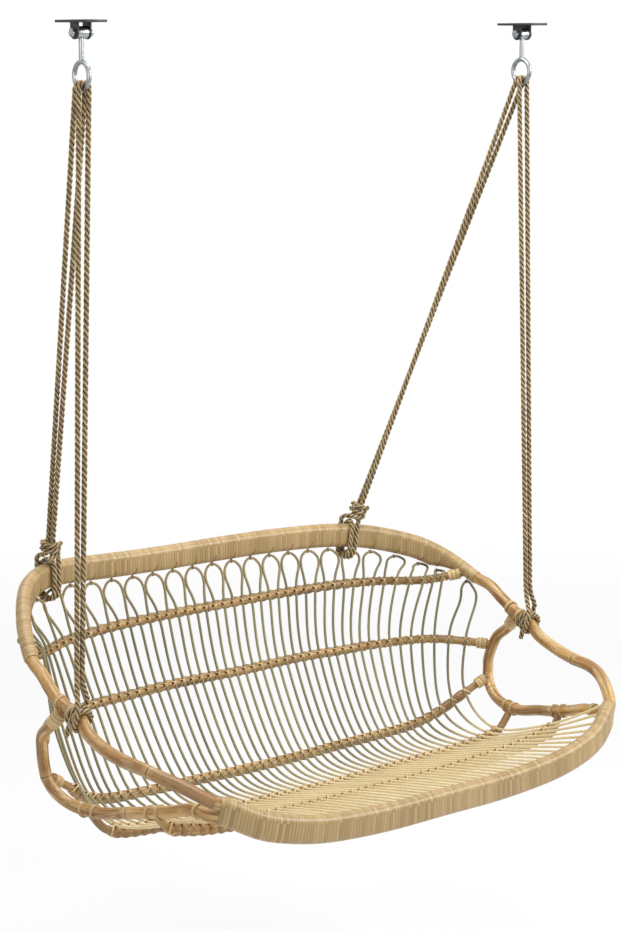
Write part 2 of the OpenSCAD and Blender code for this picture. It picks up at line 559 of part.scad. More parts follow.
// A knot is a collar of rope round both strands, above the band, with a tail to the left and a stub
function knot_place(place, to) = let(d = unit(to - place[0]), front = unit(cross(place[3], d)))
    [place[0] + d * knot_rise, unit(cross(front, d)), front, d];
function knot_path(place, to) = let(k = knot_place(place, to), count = knot_turns * loop_steps)
    let(r = rope_d + 2 * clear, half = rope_d / 2 + clear)
    let(loop = [for (i = [0 : count]) let(a = 90 - 360 * knot_turns * i / count, f = i / count - 1 / 2)
        [-r * cos(a), half * sign(round(sin(a) * loop_steps)) + r * sin(a), winding_pitch * knot_turns * f]])
    placed(concat([loop[0] + [knot_tail_l, 0, 0]], loop, [loop[count] - [knot_stub_l, 0, 0]]),
        k[0], k[1], k[2], k[3]);
module winding(path) color(JUTE) translate(chair_at) plain_tube(path, rope_d / 2, winding_sides);

// A rope's route: from one end of its winding up to the ring, over the wire and down to the other end
function saddle(side, y) = [for (k = [0 : bend_steps]) let(a = 180 * k / bend_steps)
    [side * (hanger_span / 2 + strand_x * cos(a)), y, saddle_z - strand_x + strand_x * sin(a)]];
function rope_route(path, side, y, first, second) = let(last = len(path) - 1, ua = unit(path[0] - path[1]),
    ub = unit(path[last] - path[last - 1])) concat(
        [for (p = concat([path[0] + ua * clear, path[0] + ua * straight_up_share * rope_d], first))
            p + chair_at],
        saddle(side, y),
        [for (p = concat(reversed(second), [path[last] + ub * straight_up_share * rope_d,
            path[last] + ub * clear])) p + chair_at]);
// A front rope's two strands come side by side above the arm, and a rear rope's run through the knot
function front_rope(place, side) = let(at = place[0] + unit(ring_at(side) - place[0]) * gather)
    rope_route(front_hitch_path(place), side, -strand_y,
        [at - strand_y * place[1]], [at + strand_y * place[1]]);
function rear_rope(place, side) = let(k = knot_place(place, ring_at(side)), half = strand_y * k[2])
    rope_route(rear_hitch_path(place), side, strand_y,
        [for (e = [-1, 1]) k[0] - half + e * knot_reach * k[3]],
        [for (e = [-1, 1]) k[0] + half + e * knot_reach * k[3]]);
function ring_at(side) = [side * hanger_span / 2, 0, -eye_drop] - chair_at;
module rope(route) color(JUTE) plain_tube(route, rope_d / 2, rope_sides);

module chair() translate(chair_at) children();
module in_rattan() chair() color(RATTAN) children();
module in_cane() chair() color(CANE) children();

// Cane over the front rail, round both poles
wrap_first = curve_steps + corner_steps;
wrap_last = len(front_points) * curve_steps - corner_steps;
module front_wrap() {
    high = part_of(front_line, wrap_first, wrap_last);
    low = part_of(low_line, wrap_first + curve_steps, wrap_last + curve_steps);
    sleeve(high, low, part_of(front_s, wrap_first, wrap_last), part_of(front_h, wrap_first, wrap_last),
        pole_d / 2 + clear, pole_d / 2 + clear + cane_t, pole_sides);
}
module second_top() tube(top_second_line, top_second_d / 2, pole_sides, headings(top_second_line),
    level_sides(headings(top_second_line)));
module top_wrap() sleeve(top_high_line, top_band_low, part_of(hoop_s, top_range[0], top_range[1]), top_high_h,
    pole_d / 2 + clear, pole_d / 2 + clear + cane_t, pole_sides);
// The least gap of each winding to itself, between points that are more than half a turn apart
function least_gap(path) = min([for (i = [0 : len(path) - 1]) for (j = [i + 1 : 1 : len(path) - 1])
    if (j - i > loop_steps / 2) norm(path[i] - path[j])]) - rope_d;
echo(least_gap_of_front_hitches = [least_gap(front_hitch_path(front_place_left)),
    least_gap(front_hitch_path(front_place_right))]);
echo(least_gap_of_rear_hitches = [least_gap(rear_hitch_path(rear_place_left)),
    least_gap(rear_hitch_path(rear_place_right))]);
echo(least_gap_of_knots = [least_gap(knot_path(rear_place_left, ring_at(-1))),
    least_gap(knot_path(rear_place_right, ring_at(1)))]);

bracket(-hanger_span / 2);  // ceiling_bracket_left
bracket(hanger_span / 2);  // ceiling_bracket_right
bolt(-hanger_span / 2);  // pivot_bolt_left
bolt(hanger_span / 2);  // pivot_bolt_right
nut(-hanger_span / 2);  // pivot_nut_left
nut(hanger_span / 2);  // pivot_nut_right
eye(-hanger_span / 2);  // swing_eye_left
eye(hanger_span / 2);  // swing_eye_right
rope(front_rope(front_place_left, -1));  // front_rope_left
rope(front_rope(front_place_right, 1));  // front_rope_right
rope(rear_rope(rear_place_left, -1));  // rear_rope_left
rope(rear_rope(rear_place_right, 1));  // rear_rope_right
winding(front_hitch_path(front_place_left));  // front_hitch_left
winding(front_hitch_path(front_place_right));  // front_hitch_right
winding(rear_hitch_path(rear_place_left));  // rear_hitch_left
winding(rear_hitch_path(rear_place_right));  // rear_hitch_right
winding(knot_path(rear_place_left, ring_at(-1)));  // rear_knot_left
winding(knot_path(rear_place_right, ring_at(1)));  // rear_knot_right
in_rattan() pole(hoop, hoop_h, hoop_s, top_range, pole_d);  // top_pole
in_rattan() second_top();  // top_second_pole
in_cane() top_wrap();  // top_cane_wrap
in_rattan() pole(hoop, hoop_h, hoop_s, arm_left_range, pole_d);  // arm_left
in_rattan() pole(hoop, hoop_h, hoop_s, arm_right_range, pole_d);  // arm_right
in_rattan()  // front_pole
    pole(front_line, front_h, front_s, front_range, pole_d);
in_rattan() pole(low_line, low_h, low_s, low_range, side_d);  // front_second_pole
in_cane() front_wrap();  // front_cane_wrap
in_rattan() side_pole(side_left, -low_h[low_range[0]]);  // side_frame_left
in_rattan() side_pole(side_right, low_h[low_range[1]]);  // side_frame_right
in_rattan() cross_rail(rails[0]);  // back_rail_upper
in_rattan() cross_rail(rails[1]);  // back_rail_middle
in_rattan() cross_rail(rails[2]);  // back_rail_lower
in_rattan() cross_rail(rails[3]);  // seat_rail_rear
in_rattan() cross_rail(rails[4]);  // seat_rail_front
chair() hairpins(0, third - 1);  // hairpins_left
chair() hairpins(third, hairpin_count - third - 1);  // hairpins_middle
chair() hairpins(hairpin_count - third, hairpin_count - 1);  // hairpins_right
chair() ties(0);  // ties_back_upper
chair() ties(1);  // ties_back_middle
chair() ties(2);  // ties_back_lower
chair() ties(3);  // ties_seat_rear
chair() ties(4);  // ties_seat_front
chair() arch_tie_set();  // arch_ties
chair() joint_wraps(true);  // joint_wraps_left
chair() joint_wraps(false);  // joint_wraps_right
chair() side_bindings(-1);  // side_bindings_left
chair() side_bindings(1);  // side_bindings_right
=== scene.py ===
import math
import random

import bpy
import numpy as np
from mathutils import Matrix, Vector


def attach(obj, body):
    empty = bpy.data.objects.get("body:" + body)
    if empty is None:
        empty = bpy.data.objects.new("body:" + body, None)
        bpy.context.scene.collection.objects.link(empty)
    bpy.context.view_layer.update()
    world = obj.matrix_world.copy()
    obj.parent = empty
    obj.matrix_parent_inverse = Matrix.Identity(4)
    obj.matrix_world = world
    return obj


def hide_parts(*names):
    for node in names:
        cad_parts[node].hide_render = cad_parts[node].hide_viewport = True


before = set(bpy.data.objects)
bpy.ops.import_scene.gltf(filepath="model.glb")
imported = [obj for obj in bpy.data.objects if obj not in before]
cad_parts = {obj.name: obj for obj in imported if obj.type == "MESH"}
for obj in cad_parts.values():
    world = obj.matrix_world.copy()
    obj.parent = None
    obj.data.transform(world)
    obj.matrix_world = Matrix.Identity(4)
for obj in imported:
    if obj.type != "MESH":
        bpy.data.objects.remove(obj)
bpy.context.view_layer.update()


# Hoop pole: one thick rattan pole, steamed and bent round the whole bench. It is bare on the two arms and runs on
# under the cane as the top rail and the front rail. Its joints show as dark rings on a slight swelling.
# Its places are shares of half the span, the depth and the height, from the bench's middle.
SPAN, DEPTH, HEIGHT = 0.61, 0.80, 0.48
BENCH = np.array([-0.023, -0.041, -1.36])
POLE_R, TOP_SECOND_R, SIDE_R, RAIL_R, ROD_R = 0.0135, 0.011, 0.0125, 0.010, 0.003
CANE_T, GAP = 0.0015, 0.0003
NOTCH = 0.006
UP = np.array([0.0, 0.0, 1.0])
STEPS = 10
POLE_STEP, POLE_SIDES, UNDERSIZE, WANDER = 0.006, 28, 0.0002, 0.00012
SWELL, SWELL_REACH, GROOVE, GROOVE_REACH = 0.0007, 0.006, 0.0006, 0.0012
PAINTED_SHADE_REACH, GRAIN_APART, NARROWING, LEAST_FALL = 0.3, 3.1, 0.08, 0.02

top_right = [(0, 0.46, 0.403), (0.25, 0.458, 0.398), (0.49, 0.452, 0.382), (0.655, 0.44, 0.354),
             (0.787, 0.411, 0.314), (0.885, 0.373, 0.27), (0.956, 0.33, 0.223), (0.995, 0.284, 0.181),
             (1.01, 0.23, 0.14)]
top_left = [(0, 0.46, 0.403), (-0.25, 0.462, 0.403), (-0.5, 0.458, 0.412), (-0.664, 0.449, 0.424),
            (-0.79, 0.423, 0.427), (-0.89, 0.38, 0.396), (-0.952, 0.326, 0.341), (-0.99, 0.27, 0.26),
            (-1.01, 0.215, 0.172)]
arm_fore = [(-1, -0.115, -0.094), (-0.99, -0.19, -0.113), (-0.98, -0.262, -0.118), (-0.964, -0.312, -0.131),
            (-0.936, -0.357, -0.15), (-0.902, -0.4, -0.181), (-0.869, -0.432, -0.208)]
arm_left = [(-1.01, 0.215, 0.172), (-1.012, 0.162, 0.125), (-1.013, 0.122, 0.077), (-1.013, 0.09, 0.046),
            (-1.007, 0.052, 0.023), (-1.003, 0, 0), (-1.003, -0.046, -0.058)] + arm_fore
arm_right = [(1.01, 0.23, 0.14), (1.012, 0.172, 0.119), (1.013, 0.122, 0.071), (1.013, 0.09, 0.044),
             (1.007, 0.052, 0.023), (1.003, 0, 0), (1.003, -0.046, -0.058)] + [(-x, y, z) for x, y, z in arm_fore]
front_half = [(0, -0.51, -0.375), (0.25, -0.506, -0.378), (0.475, -0.504, -0.36), (0.623, -0.5, -0.326),
              (0.738, -0.483, -0.283), (0.831, -0.45, -0.222), (0.869, -0.432, -0.208)]


def sized(places):
    return [np.array((x * SPAN, y * DEPTH, z * HEIGHT)) for x, y, z in places]


def mirrored(points):
    return [p * (-1, 1, 1) for p in points]


def whole(half):
    return mirrored(half)[::-1] + half[1:]


def unit(v):
    return v / np.linalg.norm(v)


def units(rows):
    return rows / np.linalg.norm(rows, axis=1)[:, None]


def bent(points, steps=STEPS):
    """A smooth line through points, as a pole takes when it is bent round pegs."""
    line, last = [], len(points) - 1
    for i in range(last):
        a, b, c, d = (points[max(0, min(last, i + k))] for k in (-1, 0, 1, 2))
        for t in np.arange(steps) / steps:
            line.append((2 * b + (c - a) * t + (2 * a - 5 * b + 4 * c - d) * t ** 2
                         + (3 * b - a - 3 * c + d) * t ** 3) / 2)
    return np.array(line + [points[last]])


def lengths(line):
    return np.concatenate([[0], np.cumsum(np.linalg.norm(np.diff(line, axis=0), axis=1))])


def read_off(line, s, at):
    """The points of a line at the places at, where s gives the place of each of its own points."""
    return np.stack([np.interp(at, s, line[:, k]) for k in range(3)], 1)


def stepped(line, step):
    """The same line with rings at an even step."""
    s = lengths(line)
    return read_off(line, s, np.linspace(0, s[-1], max(2, int(round(s[-1] / step)) + 1)))


def headings(line):
    return units(np.concatenate([[line[1] - line[0]], line[2:] - line[:-2], [line[-1] - line[-2]]]))


def level_sides(h):
    return units(np.cross(h, UP))


def carried_sides(h):
    s = unit(np.cross(h[0], UP if abs(h[0][2]) < 0.9 else (0, 1, 0)))
    sides = []
    for v in h:
        s = unit(s - s.dot(v) * v)
        sides.append(s)
    return np.array(sides)


def nearest(p, line):
    a, b = line[:-1], line[1:]
    t = np.clip(((p - a) * (b - a)).sum(1) / ((b - a) ** 2).sum(1), 0, 1)
    q = a + t[:, None] * (b - a)
    k = np.linalg.norm(p - q, axis=1).argmin()
    return q[k], unit(b[k] - a[k])


def seat(p, pole, radius):
    """Where a pole's end meets another pole, a little inside it as a notched joint is."""
    q, way = nearest(p, pole)
    d = p - q
    out = unit(d - d.dot(way) * way)
    return q + out * (radius - NOTCH)


def along(line, x):
    """The point of a left-to-right line at x."""
    return np.array([x, np.interp(x, line[:, 0], line[:, 1]), np.interp(x, line[:, 0], line[:, 2])])


def new_object(name, data):
    made = bpy.data.objects.new(name, data)
    bpy.context.collection.objects.link(made)
    return made


def from_rings(name, rings, faces):
    mesh = bpy.data.meshes.new(name)
    mesh.from_pydata((rings.reshape(-1, 3) + BENCH).tolist(), [], faces)
    return new_object(name, mesh)


def skin(name, rings, u, flat, extras=None):
    """A closed tube from its rings of points. Its map has the length along it and the share of the way round, and
    straight is where each point is when the piece is straightened out: u along it and flat across it."""
    n, m = rings.shape[:2]
    i, k = np.meshgrid(np.arange(n - 1), np.arange(m), indexing="ij")
    k2 = (k + 1) % m
    quads = np.stack([i * m + k, (i + 1) * m + k, (i + 1) * m + k2, i * m + k2], -1).reshape(-1, 4)
    faces = quads.tolist() + [list(range(m)), list(range((n - 1) * m, n * m))[::-1]]
    piece = from_rings(name, rings, faces)
    mesh = piece.data
    around = np.stack([k, k, k + 1, k + 1], -1).reshape(-1) / m
    length = np.stack([u[i], u[i + 1], u[i + 1], u[i]], -1).reshape(-1)
    length = np.concatenate([length, np.full(m, u[0]), np.full(m, u[-1])])
    around = np.concatenate([around, np.arange(m) / m, np.arange(m)[::-1] / m])
    mesh.uv_layers.new(name="UVMap").data.foreach_set("uv", np.stack([length, around], -1).ravel())
    straight = np.concatenate([np.broadcast_to(u[:, None, None], (n, m, 1)), np.broadcast_to(flat, (n, m, 2))], -1)
    made = mesh.attributes.new("straight", "FLOAT_VECTOR", "POINT")
    made.data.foreach_set("vector", straight.reshape(-1))
    for key, values in (extras or {}).items():
        made = mesh.attributes.new(key, "FLOAT", "POINT")
        made.data.foreach_set("value", np.broadcast_to(values, (n, m)).astype(float).ravel())
    return piece


def round_skin(name, line, radius, count, sides=None, start=0.0, extras=None):
    h = headings(line)
    s = carried_sides(h) if sides is None else sides
    b = np.cross(s, h)
    a = 2 * np.pi * np.arange(count) / count
    r = np.broadcast_to(np.asarray(radius, float).reshape(-1, 1), (len(line), count))
    flat = np.stack([r * np.cos(a), r * np.sin(a)], -1)
    rings = line[:, None] + flat[..., :1] * s[:, None] + flat[..., 1:] * b[:, None]
    return skin(name, rings, lengths(line) + start, flat, extras)


def pick(*pieces):
    """Takes up these pieces alone."""
    bpy.ops.object.select_all(action="DESELECT")
    for piece in pieces:
        piece.select_set(True)
    bpy.context.view_layer.objects.active = pieces[0]


def finished(piece, material, node, body="swing", angle=50):
    """Gives a piece its finish and hangs it on the body that it moves with."""
    piece.data.materials.clear()
    piece.data.materials.append(material)
    pick(piece)
    bpy.ops.object.shade_smooth_by_angle(angle=math.radians(angle))
    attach(piece, body)
    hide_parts(node)
    piece.select_set(False)


def from_joint(s, joints):
    """How far each place along a pole is from the joint nearest to it."""
    near = s[:, None] - np.asarray(joints, float)[None]
    return near[np.arange(len(s)), np.abs(near).argmin(1)]


def bare_pole(name, node, line, radius, joints, seed, tan=0.0):
    """A bare pole: it swells at each joint, wanders a little in thickness, and knows how far the next joint is. It
    can also carry painted shade that darkens it towards its start.
    """
    line = stepped(line, POLE_STEP)
    s = lengths(line)
    ring = from_joint(s, joints)
    rng = np.random.default_rng(seed)
    wander = sum(rng.uniform(-1, 1) * np.sin(s * f + rng.uniform(0, 6)) for f in (9, 17, 31)) * WANDER
    r = (radius - UNDERSIZE + wander + SWELL * np.exp(-(ring / SWELL_REACH) ** 2)
         - GROOVE * np.exp(-(ring / GROOVE_REACH) ** 2))
    # Painted shade: the pole is darkened towards its start, fading out along it.
    shade = tan * np.clip(1.25 - s / PAINTED_SHADE_REACH, 0, 1)
    finished(round_skin(name, line, r, POLE_SIDES, start=seed * GRAIN_APART,
                        extras={"ring": ring[:, None], "tan": shade[:, None]}), pole_rattan, node)


def color(hexed):
    """A written colour as the light that it stands for."""
    v = [int(hexed[k:k + 2], 16) / 255 for k in (0, 2, 4)]
    return tuple(c / 12.92 if c <= 0.04045 else ((c + 0.055) / 1.055) ** 2.4 for c in v) + (1.0,)


def add_node(tree, kind, settings=None, **inputs):
    """Adds a shader node. An input is given by its name, or as i and its number, and is a value or an output."""
    node = tree.nodes.new("ShaderNode" + kind)
    node.location = (-1600 + 180 * (len(tree.nodes) % 8), 300 - 240 * (len(tree.nodes) // 8))
    for key, value in (settings or {}).items():
        setattr(node, key, value)
    for key, value in inputs.items():
        socket = node.inputs[int(key[1:]) if key[1:].isdigit() else key]
        if isinstance(value, bpy.types.NodeSocket):
            tree.links.new(value, socket)
        else:
            socket.default_value = value
    return node


class Finish:
    """One material and its nodes, put in from left to right."""

    def __init__(self, name, roughness, coat=0.0):
        self.material = bpy.data.materials.new(name)
        self.material.use_nodes = True
        self.tree = self.material.node_tree
        self.shader = self.tree.nodes["Principled BSDF"]
        for key, value in (("Roughness", roughness), ("Coat Weight", coat), ("Coat Roughness", 0.3)):
            self.shader.inputs[key].default_value = value

    def put(self, kind, settings=None, **inputs):
        return add_node(self.tree, kind, settings, **inputs)

    def noise(self, scale, detail=3.0):
        """Noise on the straightened piece, with one scale along it and two across it."""
        place = self.put("Attribute", {"attribute_name": "straight"}).outputs["Vector"]
        place = self.put("VectorMath", {"operation": "MULTIPLY"}, i0=place, i1=scale).outputs[0]
        return self.put("TexNoise", Vector=place, Scale=1.0, Detail=detail, Roughness=0.55).outputs["Fac"]

    def plain_noise(self, scale, detail=3.0):
        """Noise in space, for small pieces and for metal."""
        place = self.put("TexCoord").outputs["Object"]
        return self.put("TexNoise", Vector=place, Scale=scale, Detail=detail).outputs["Fac"]

    def value(self, name):
        return self.put("Attribute", {"attribute_name": name}).outputs["Fac"]

    def ramp(self, fac, *stops):
        node = self.put("ValToRGB", Fac=fac)
        marks = node.color_ramp.elements
        while len(marks) < len(stops):
            marks.new(0.5)
        for mark, (place, shade) in zip(marks, stops):
            mark.position = place
            mark.color = color(shade) if isinstance(shade, str) else (shade, shade, shade, 1)
        return node.outputs["Color"]

    def fade(self, value, start, end):
        """0 at start and 1 at end, whichever is the larger."""
        return self.put("MapRange", {"interpolation_type": "SMOOTHSTEP"}, i0=value, i1=min(start, end),
                        i2=max(start, end), i3=float(start > end), i4=float(end > start)).outputs[0]

    def mix(self, fac, a, b, kind="MIX"):
        return self.put("Mix", {"data_type": "RGBA", "blend_type": kind}, i0=fac, i6=a, i7=b).outputs[2]

    def calc(self, kind, a, b=0.0, clamp=False):
        return self.put("Math", {"operation": kind, "use_clamp": clamp}, i0=a, i1=b).outputs[0]

    def done(self, base, height, depth, rough=None):
        bump = self.put("Bump", Height=height, Distance=depth, Strength=1.0)
        self.tree.links.new(base, self.shader.inputs["Base Color"])
        self.tree.links.new(bump.outputs[0], self.shader.inputs["Normal"])
        if rough is not None:
            self.tree.links.new(rough, self.shader.inputs["Roughness"])
        return self.material


def rattan(name, pale, mid, deep, worn_shade, streak_shade, ring_shade, roughness=0.42):
    """Skin-on rattan: long grain, cloudy patches, pale wear, stains along the grain, painted shade where a pole
    carries it, and a dark line at joints.
    """
    f = Finish(name, roughness, coat=0.12)
    base = f.ramp(f.noise((7.0, 45.0, 45.0)), (0.28, deep), (0.5, mid), (0.72, pale))
    base = f.mix(f.ramp(f.noise((16.0, 70.0, 70.0), 4.0), (0.52, 0.0), (0.66, 0.6)), base, color(worn_shade))
    base = f.mix(f.ramp(f.noise((6.0, 210.0, 210.0), 2.0), (0.46, 0.0), (0.66, 0.7)), base, color(streak_shade))
    # Painted shade: the deep colour is mixed in where a pole carries painted shade, as at the left arm's front end,
    # which is turned away from the key lamp.
    base = f.mix(f.value("tan"), base, color(deep))
    grain = f.noise((24.0, 900.0, 900.0))
    base = f.mix(0.55, base, f.ramp(grain, (0.3, 0.34), (0.7, 0.66)), "SOFT_LIGHT")
    scuffs = f.noise((60.0, 260.0, 260.0), 2.0)
    base = f.mix(f.ramp(scuffs, (0.6, 0.0), (0.72, 0.55)), base, color(ring_shade))
    apart = f.calc("ABSOLUTE", f.value("ring"))
    line = f.ramp(f.calc("DIVIDE", apart, 0.004, clamp=True), (0.12, 1.0), (0.42, 0.0))
    halo = f.ramp(f.calc("DIVIDE", apart, 0.02, clamp=True), (0.2, 0.3), (0.9, 0.0))
    base = f.mix(halo, base, color(pale))
    base = f.mix(line, base, color(ring_shade))
    return f.done(base, f.mix(0.5, grain, scuffs), 0.0004)


pole_rattan = rattan("pole_rattan", "cfae74", "ae8549", "7c5628", "d9c08f", "64401c", "3a2612")

top_line = sized(top_left)[::-1] + sized(top_right)[1:]
arm_left_points, arm_right_points = sized(arm_left), sized(arm_right)
front_points = whole(sized(front_half))
rise, drop = TOP_SECOND_R + GAP / 2, POLE_R + GAP / 2


def single(x):
    """1 where the top rail has both poles, and down to 0 where it narrows to one at its ends."""
    return np.clip((1 - abs(x) / SPAN) / NARROWING, 0, 1)


hoop_points = ([front_points[1]] + arm_left_points[::-1] + [p + UP * rise * single(p[0]) for p in top_line[1:]]
               + arm_right_points[1:] + [front_points[-2]])
hoop = bent(hoop_points)
arm_n, top_n = len(arm_right_points) - 1, len(top_line)
arm_left_line = hoop[STEPS:(1 + arm_n) * STEPS + 1]
top_high = hoop[(1 + arm_n) * STEPS:(arm_n + top_n) * STEPS + 1]
arm_right_line = hoop[(arm_n + top_n) * STEPS:(2 * arm_n + top_n) * STEPS + 1]
front_line = bent([arm_left_points[-2]] + front_points + [arm_right_points[-2]])[STEPS:-STEPS]

# Only the left arm carries painted shade, at its front end, the side turned away from the key lamp.
for name, line, joints, seed in (("arm_left", arm_left_line, (0.145,), 1),
                                 ("arm_right", arm_right_line, (0.135, 0.375), 2),
                                 ("top_pole", top_high, (0.2, 0.5, 0.8, 1.1), 3),
                                 ("front_pole", front_line, (0.3, 0.6, 0.9), 4)):
    bare_pole("hoop_" + name, name, line, POLE_R, joints, seed, tan=0.8 if name == "arm_left" else 0)


# Second pole under the top rail: a thinner rattan pole, pinned under the hoop so that the band of cane round both
# is twice as tall as one pole. It ends where the top rail bends down into the arms.
top_h = headings(top_high)
fall = (rise + drop) / np.sqrt(1 - top_h[:, 2] ** 2)
band_low = top_high - UP * (fall * np.maximum(single(top_high[:, 0]), LEAST_FALL))[:, None]
second = (top_high - UP * fall[:, None])[single(np.abs(top_high[:, 0]) + 2 * POLE_R) >= 1]
bare_pole("top_second_pole_bent", "top_second_pole", second, TOP_SECOND_R, (0.25, 0.6, 0.95), 5)


# Side frames and the second front pole: a thinner pole that hangs from each arm, goes down behind the seat's end
# and comes forward under the seat, then runs under the front rail. It carries the cross rails.
side_places = [(1.026, 0.066, -0.035), (1.03, 0.104, -0.07), (1.026, 0.149, -0.133), (1.015, 0.166, -0.206),
               (1.008, 0.172, -0.256), (1.005, 0.17, -0.296), (1, 0.165, -0.338), (0.989, 0.143, -0.388),
               (0.974, 0.103, -0.421), (0.959, 0.051, -0.433), (0.938, -0.024, -0.423), (0.921, -0.111, -0.385),
               (0.905, -0.183, -0.356), (0.89, -0.269, -0.315), (0.878, -0.33, -0.28), (0.873, -0.37, -0.27)]
corner_places = [(0.87, -0.408, -0.272), (0.873, -0.37, -0.27)]
FRONT_GAP = POLE_R + SIDE_R + 3 * GAP
side_points = sized(side_places)
front_right = sized(front_half)


def under_front(i):
    d = front_right[i + 1] - front_right[max(i - 1, 0)]
    return front_right[i] - UP * FRONT_GAP * np.linalg.norm(d) / np.linalg.norm(d[:2])


low_points = whole([under_front(i) for i in range(6)] + sized(corner_places))
low_line = bent([mirrored(side_points)[-2]] + low_points + [side_points[-2]])[STEPS:-STEPS]
side_lines = {}
for hand, points, joints, seed in (("left", mirrored(side_points), (0.2, 0.46), 6),
                                   ("right", side_points, (0.24, 0.5), 7)):
    side_lines[hand] = bent([seat(points[0], hoop, POLE_R)] + points[1:])
    bare_pole("side_frame_" + hand + "_bent", "side_frame_" + hand, side_lines[hand], SIDE_R, joints, seed)
bare_pole("front_second_pole_bent", "front_second_pole", low_line, SIDE_R, (0.3, 0.62, 0.95), 8)


# Cross rails: three behind the back rods and two under the seat rods, of thinner rattan. The ties pull them in at
# each rod, so they stand out like beads between the rods.
rail_places = {
    "back_rail_upper": [(0, 0.438, 0.14), (0.197, 0.438, 0.14), (0.352, 0.436, 0.138), (0.525, 0.431, 0.133),
                        (0.71, 0.412, 0.121), (0.87, 0.344, 0.119), (0.967, 0.278, 0.125)],
    "back_rail_middle": [(0, 0.382, -0.171), (0.175, 0.384, -0.169), (0.328, 0.384, -0.169),
                         (0.485, 0.378, -0.173), (0.656, 0.364, -0.173), (0.864, 0.3, -0.167),
                         (0.984, 0.206, -0.154)],
    "back_rail_lower": [(0, 0.22, -0.552), (0.161, 0.222, -0.552), (0.311, 0.224, -0.548), (0.541, 0.222, -0.542),
                        (0.705, 0.231, -0.538), (0.82, 0.219, -0.492), (0.893, 0.188, -0.417),
                        (0.967, 0.152, -0.323)],
    "seat_rail_rear": [(0, 0.025, -0.6), (0.246, 0.025, -0.594), (0.492, 0.025, -0.588), (0.689, 0.025, -0.577),
                       (0.82, 0.025, -0.56), (0.893, 0.025, -0.525), (0.93, 0.025, -0.485)],
    "seat_rail_front": [(0, -0.222, -0.496), (0.246, -0.222, -0.494), (0.492, -0.222, -0.484),
                        (0.689, -0.222, -0.464), (0.803, -0.222, -0.438), (0.858, -0.222, -0.415),
                        (0.886, -0.222, -0.39)]}
RAILS = list(rail_places)
LEGS = 24
PITCH = SPAN * 1.0505 / LEGS
PITCH_SHARES = (0.959, 0.895, 0.85, 0.825, 0.81, 0.79)
LEANS = np.radians((16, 28, 54, 95, 104))
SPREAD_LEFT = ((0.33, 0), (0.66, 0.012), (0.83, 0.016), (0.9, 0), (1, -0.06))
SPREAD_RIGHT = ((0.57, 0), (0.92, 0.035), (1, 0.04))
SPREAD_RIGHT_TOP = ((0.33, 0), (0.66, 0.03), (0.735, 0.038), (0.83, 0.05), (0.87, 0.035), (0.92, 0.02),
                    (0.985, -0.025), (1.01, -0.018))
rail_lines = {}
for name, places in rail_places.items():
    points = whole(sized(places))
    if name == "back_rail_upper":
        ends, radius = (hoop, hoop), POLE_R + CANE_T + GAP
    else:
        ends, radius = (side_lines["left"], side_lines["right"]), SIDE_R
    points[0], points[-1] = seat(points[0], ends[0], radius), seat(points[-1], ends[1], radius)
    rail_lines[name] = bent(points)


def spread(x, side, level):
    table = SPREAD_LEFT if side < 0 else SPREAD_RIGHT_TOP if level == 0 else SPREAD_RIGHT
    return x + np.interp(x / SPAN, *zip(*table)) * SPAN


def leg_x(level, side, j):
    """Leg j of one side, counted from the middle, stands this far across at a rail."""
    return side * spread((j - 0.5) * PITCH * PITCH_SHARES[level], side, level)


def crossing(level, x):
    """A rail at x: its middle, the way it runs, and the way square off it towards the rods."""
    line = rail_lines[RAILS[level]]
    way = unit(along(line, x + 2 * RAIL_R) - along(line, x - 2 * RAIL_R))
    out = np.array([0, -math.cos(LEANS[level]), math.sin(LEANS[level])])
    return along(line, x), way, unit(out - out.dot(way) * way)


RAIL_STEP, RAIL_SIDES, RAIL_PINCH, RAIL_UNDERSIZE = 0.0024, 16, 0.001, 0.0004
BACK_BEAD, SEAT_BEAD = 0.0034, 0.005
BARE_FROM, BARE_OVER, RAIL_JOINTS = 0.36, 0.06, (0.24, 0.61, 0.93)
rail_rattan = rattan("rail_rattan", "b08c52", "94713d", "6e502b", "b8965c", "5a3d1d", "33210f", 0.46)
for level, name in enumerate(RAILS):
    line = stepped(rail_lines[name], RAIL_STEP)
    ties_at = np.sort([leg_x(level, side, j) for side in (-1, 1) for j in range(1, LEGS + 1)])
    x = line[:, 0]
    k = np.clip(np.searchsorted(ties_at, x), 1, len(ties_at) - 1)
    room = ties_at[k] - ties_at[k - 1]
    inside = np.clip((x - ties_at[k - 1]) / room, 0, 1) * (x > ties_at[0]) * (x < ties_at[-1])
    swell = np.sin(np.pi * inside) ** 0.6
    bare = np.clip((x - BARE_FROM) / BARE_OVER, 0, 1) if level < 2 else 0 * x
    bead = BACK_BEAD if level < 3 else SEAT_BEAD
    radius = RAIL_R - RAIL_UNDERSIZE + (bead * swell - RAIL_PINCH) * (1 - bare)
    piece = round_skin(name + "_bent", line, radius, RAIL_SIDES, level_sides(headings(line)), 20 + level,
                       {"ring": from_joint(lengths(line), RAIL_JOINTS)[:, None]})
    finished(piece, rail_rattan, name)


# Hairpins: 24 rods of round rattan core, each steamed and bent double. The bends are tied side by side under the
# top rail, and both legs run down the back and forward under the seat into the front rail.
LEVELS = len(RAILS)
TIE_T = 0.0012
ARCHES, GROUP = LEGS // 2, 8
STAND_OFF, STAND_OFF_LEGS = 0.0032, 4
OUTER_FROM, OUTER_FORWARD, OUTER_DROP = 0.96, 0.9, 0.2
TIP_SHARE, ARCH_FORWARD, BULGE_UP, SHOULDER_UP = 0.25, 0.003, 0.64, 0.72


def tied(level, side):
    """How many legs of one side are tied to a rail. The last right rod bends over before the upper one."""
    return LEGS - 2 if side > 0 and level == 0 else LEGS


def leg_on(level, side, j):
    """Where a leg crosses a rail. The outer legs stand off the upper rail, for its end's wrap."""
    at, way, out = crossing(level, leg_x(level, side, j))
    off = STAND_OFF * max(0, 1 - (tied(level, side) - j) / STAND_OFF_LEGS) if level == 0 else 0
    return at + out * (RAIL_R + ROD_R + GAP + off)


